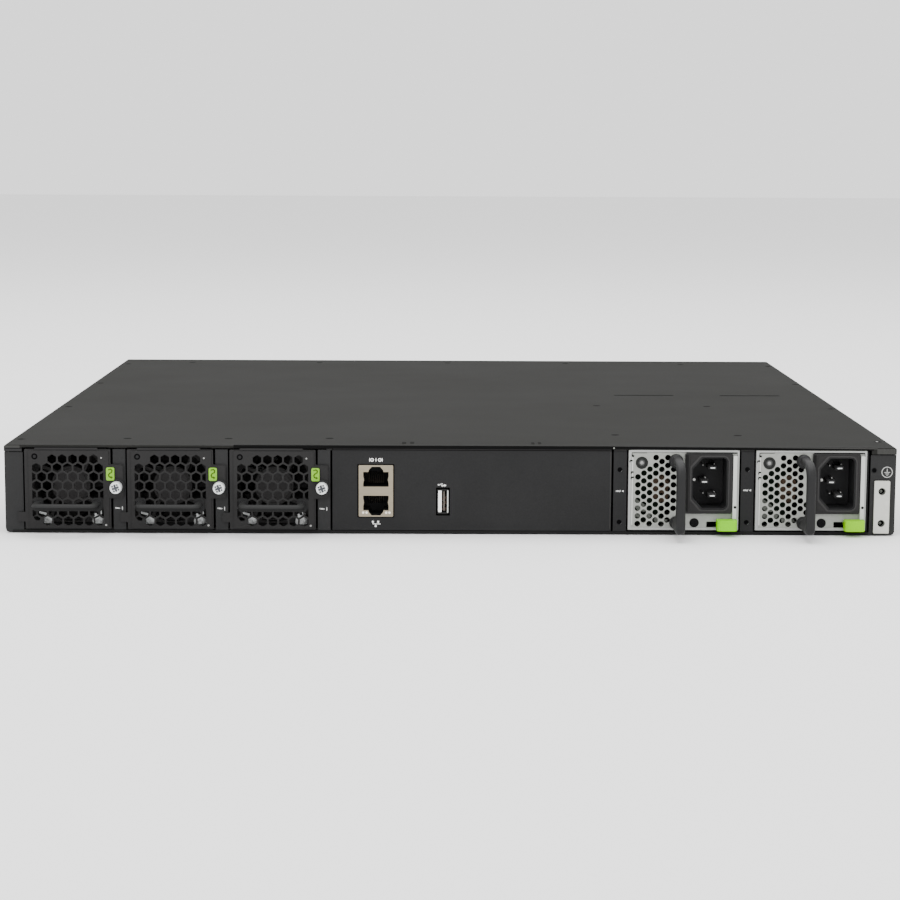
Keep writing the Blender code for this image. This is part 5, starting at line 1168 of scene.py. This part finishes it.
banks = [("qsfp_cage_left", 20.6, 18.8, 4), ("qsfp_cage_right", 20.6, 18.8, 4), ("sfp_cage", 14.4, 13.8, 2)]
spring, liner, rails, arrows, lamps = Shape(), Shape(), Shape(), Shape(), Shape()
for node, pitch, w, cols in banks:
    nb = mm_box(node)
    # sprung gasket fingers round the cage's mouth, between it and the panel
    n = int((nb[1] - nb[0]) / 3.2)
    for i in range(n):
        x = nb[0] + (nb[1] - nb[0]) * (i + 0.5) / n
        for z, sg in ((nb[5], 1), (nb[4], -1)):
            spring.sweep([(x, FP - 5.5, z + sg * 0.05), (x, FP - 3.6, z + sg * 0.42), (x, FP - 2.2, z + sg * 0.44), (x, FP - 0.4, z + sg * 0.06)], [(-1.1, -0.08), (1.1, -0.08), (1.1, 0.08), (-1.1, 0.08)])
    for a, b, z0, z1, row in port_cells(nb[0], pitch, w, cols):
        liner.prism(rect(a + 0.02, b - 0.02, z0 + 0.02, z1 - 0.02), FP - 43.9, FP - 43.6, "Y")
        # connector at the back of the bay, and the two rails
        liner.prism(rrect(a + 1.6, b - 1.6, z0 + 1.2, z0 + 5.4, 0.3, 2), FP - 43.7, FP - 37.0, "Y")
        for x, sg in ((a, 1), (b, -1)):
            rails.sweep([(x + sg * 0.25, FP - 14.0, (z0 + z1) / 2), (x + sg * 0.55, FP - 9.0, (z0 + z1) / 2), (x + sg * 0.25, FP - 3.0, (z0 + z1) / 2)], [(-0.14, -1.4), (0.14, -1.4), (0.14, 1.4), (-0.14, 1.4)])
        rails.prism(rect((a + b) / 2 - 1.6, (a + b) / 2 + 1.6, FP - 12.0, FP - 1.5), z0 + 0.02, z0 + 0.22, "Z")
        xm = (a + b) / 2
        sg = 1 if row else -1
        zc = 33.2 if row else 5.2
        arrows.prism([(xm - 3.4, zc - sg * 0.7), (xm - 1.8, zc - sg * 0.7), (xm - 2.6, zc + sg * 0.7)], FP - 0.01, FP + 0.03, "Y")
        lamps.prism(rrect(xm + 1.2, xm + 3.2, zc - 0.6, zc + 0.6, 0.3, 3), FP - 0.01, FP + 0.05, "Y")
spring.build("cage_gasket_fingers", surface("spring_steel", (0.66, 0.62, 0.54), 0.3, metal=0.85, mottle=0.06), "chassis", "zinc_steel", bevel=0.05, seg=1)
liner.build("cage_connectors", CHIP, "chassis", "black_plastic", bevel=0.1, seg=1)
rails.build("cage_side_springs", ZINC, "chassis", "zinc_steel", bevel=0.04, seg=1)
arrows.build("port_arrows", INK, "chassis")
lamps.build("port_lamps", AMBER, "chassis", "lens", bevel=0.05, seg=2)
keep("status_light_pipe", LENS, 0.2, 2)
s = Shape()
lp = mm_box("status_light_pipe")
for i in range(5):
    z = lp[4] + 2.2 + 4.05 * i
    s.prism(rrect(lp[0] + 0.9, lp[1] - 0.9, z - 0.9, z + 0.9, 0.5, 3), FP - 0.45, FP - 0.1, "Y")
s.build("status_lamps", AMBER, "chassis", "lens", bevel=0.1, seg=2)
s = Shape()
s.prism(rrect(lp[0] - 0.9 + 0.5, lp[1] + 0.9 - 0.5, lp[4] - 0.2, lp[5] + 0.2, 0.3, 2), FP - 0.9, FP - 0.42, "Y", holes=[rrect(lp[0] + 0.8, lp[1] - 0.8, lp[4] + 1.2 + 4.05 * i, lp[4] + 3.2 + 4.05 * i, 0.4, 3) for i in range(5)])
s.build("status_bezel", DARK_PLASTIC, "chassis", "black_plastic")
# mesh behind the port side's air slots
s = Shape()
for i in range(37):
    z = 7.0 + 0.78 * i
    s.box(57.5, 206.0, FP - 1.85, FP - 1.6, z, z + 0.28)
for i in range(126):
    x = 58.0 + 1.17 * i
    s.box(x, x + 0.28, FP - 2.1, FP - 1.85, 6.6, 35.6)
s.build("air_slot_mesh", ZINC_IN, "chassis", "zinc_steel")
s = Shape()
for x in (-214.0, -96.0 - 7.3, -9.5, 44.0, 214.0):
    for z in (4.0, 39.5) if abs(x) > 200 else (39.6,):
        s.lathe([(0.0, FP + 0.02), (0.5, FP + 0.02), (0.62, FP + 0.14), (1.35, FP + 0.12), (1.7, FP), (1.7, FP - 0.2), (0.0, FP - 0.2)], (x, z if abs(x) > 200 else 4.2), "Y", 28)
s.build("front_screws", surface("front_screw_black", (0.03, 0.03, 0.03), 0.4, metal=0.2, mottle=0.1, specular=0.2), "chassis", "black_steel", smooth=35)

# =========================================================================
# inside: boards, heat sinks and the bay connectors
# =========================================================================
keep("main_board", BOARD, 0.1, 1)
keep("cpu_board", BOARD, 0.1, 1)
keep("asic_heatsink", ALU, 0.15, 1)
keep("cpu_heatsink", ALU, 0.15, 1)
keep("fan_board", BOARD, 0.12, 1)
keep("power_board", BOARD, 0.12, 1)
s = Shape()
for k in range(3):
    c = (mm_box(f"fan{k+1}_tray")[0] + mm_box(f"fan{k+1}_tray")[1]) / 2
    s.pocketed(rrect(c - 9.3, c + 9.3, 8.7, 17.3, 0.4), [rrect(c - 7.6, c + 7.6, 9.9, 16.1, 0.3)], 63.2, 67.0, 68.9, "Y")
for k in (1, 2):
    b = mm_box(f"psu{k}_case")
    c = (b[0] + b[1]) / 2
    s.pocketed(rrect(c - 21.3, c + 21.3, 3.1, 12.7, 0.5), [rrect(c - 18.6, c + 18.6, 5.9, 8.7, 0.2)], 224.7, 236.0, 240.2, "Y")
s.build("bay_connectors", CHIP, "chassis", "black_plastic", bevel=0.25, seg=2)
s = Shape()
for cxx, cyy, w, d, h in ((-150, 120, 14, 14, 1.6), (-120, 160, 10, 18, 1.2), (-170, 220, 22, 22, 2.0), (-110, 260, 12, 12, 1.4), (-150, 310, 18, 18, 1.8), (40, 120, 0, 0, 0), (120, 300, 16, 16, 1.6), (160, 340, 12, 20, 1.2), (90, 360, 14, 14, 1.5)):
    if w:
        s.prism(rrect(cxx - w / 2, cxx + w / 2, cyy - d / 2, cyy + d / 2, 0.4, 2), 7.6, 7.6 + h, "Z")
s.build("board_chips", CHIP, "chassis", bevel=0.15, seg=1)
s = Shape()
for i in range(14):
    x, y = -190 + 9.5 * i, 100.0 + 6 * (i % 3)
    s.lathe([(0.0, 14.4), (2.4, 14.4), (3.0, 13.8), (3.0, 8.0), (3.3, 7.7), (0.0, 7.7)], (x, y), "Z", 20)
s.build("board_capacitors", BLUE, "chassis", smooth=35)

# =========================================================================
# floor, lights, camera
# =========================================================================
bpy.ops.mesh.primitive_plane_add(size=14.0, location=(0, 0, -0.0004))
floor = bpy.context.active_object
floor.name = "studio_floor"
fm = bpy.data.materials.new("studio_floor")
fm.use_nodes = True
fm.node_tree.nodes["Principled BSDF"].inputs["Base Color"].default_value = (0.86, 0.86, 0.86, 1)
fm.node_tree.nodes["Principled BSDF"].inputs["Roughness"].default_value = 0.9
fm.node_tree.nodes["Principled BSDF"].inputs["Specular IOR Level"].default_value = 0.1
floor.data.materials.append(fm)

world = bpy.data.worlds.new("studio")
bpy.context.scene.world = world
world.use_nodes = True
world.node_tree.nodes["Background"].inputs["Color"].default_value = (1.0, 1.0, 1.0, 1)
world.node_tree.nodes["Background"].inputs["Strength"].default_value = 1.6


def area_light(name, at, target, size, power, size_y=None):
    data = bpy.data.lights.new(name, "AREA")
    data.energy = power
    data.size = size
    if size_y:
        data.shape = "RECTANGLE"
        data.size_y = size_y
    obj = bpy.data.objects.new(name, data)
    obj.location = at
    obj.rotation_euler = (Vector(target) - Vector(at)).to_track_quat("-Z", "Y").to_euler()
    bpy.context.scene.collection.objects.link(obj)
    return obj


area_light("key", (-0.7, -1.6, 1.5), (0, -0.15, 0), 1.4, 16.0)
area_light("fill", (1.0, -1.7, 0.8), (0, -0.2, 0), 1.4, 8.0)
area_light("top", (0.0, 0.1, 1.9), (0, 0, 0), 2.0, 46.0)

# camera: place, heading, pitch and roll, looking at the rear and down on the cover
cam_data = bpy.data.cameras.new("camera")
cam_data.sensor_width = 36.0
cam_data.lens = 89.44
cam_data.clip_start = 0.02
cam_data.clip_end = 50.0
cam = bpy.data.objects.new("camera", cam_data)
yaw, pitch, roll = -0.00531, 0.13608, 0.00451
fwd = Vector((-math.sin(yaw) * math.cos(pitch), math.cos(yaw) * math.cos(pitch), -math.sin(pitch)))
right = Vector((math.cos(yaw), math.sin(yaw), 0.0))
up = right.cross(fwd)
r2 = math.cos(roll) * right + math.sin(roll) * up
u2 = -math.sin(roll) * right + math.cos(roll) * up
rot = Matrix((r2, u2, -fwd)).transposed().to_4x4()
cam.matrix_world = Matrix.Translation((-0.0062, REAR - 1.09186, 0.19127)) @ rot
bpy.context.scene.collection.objects.link(cam)
bpy.context.scene.camera = cam
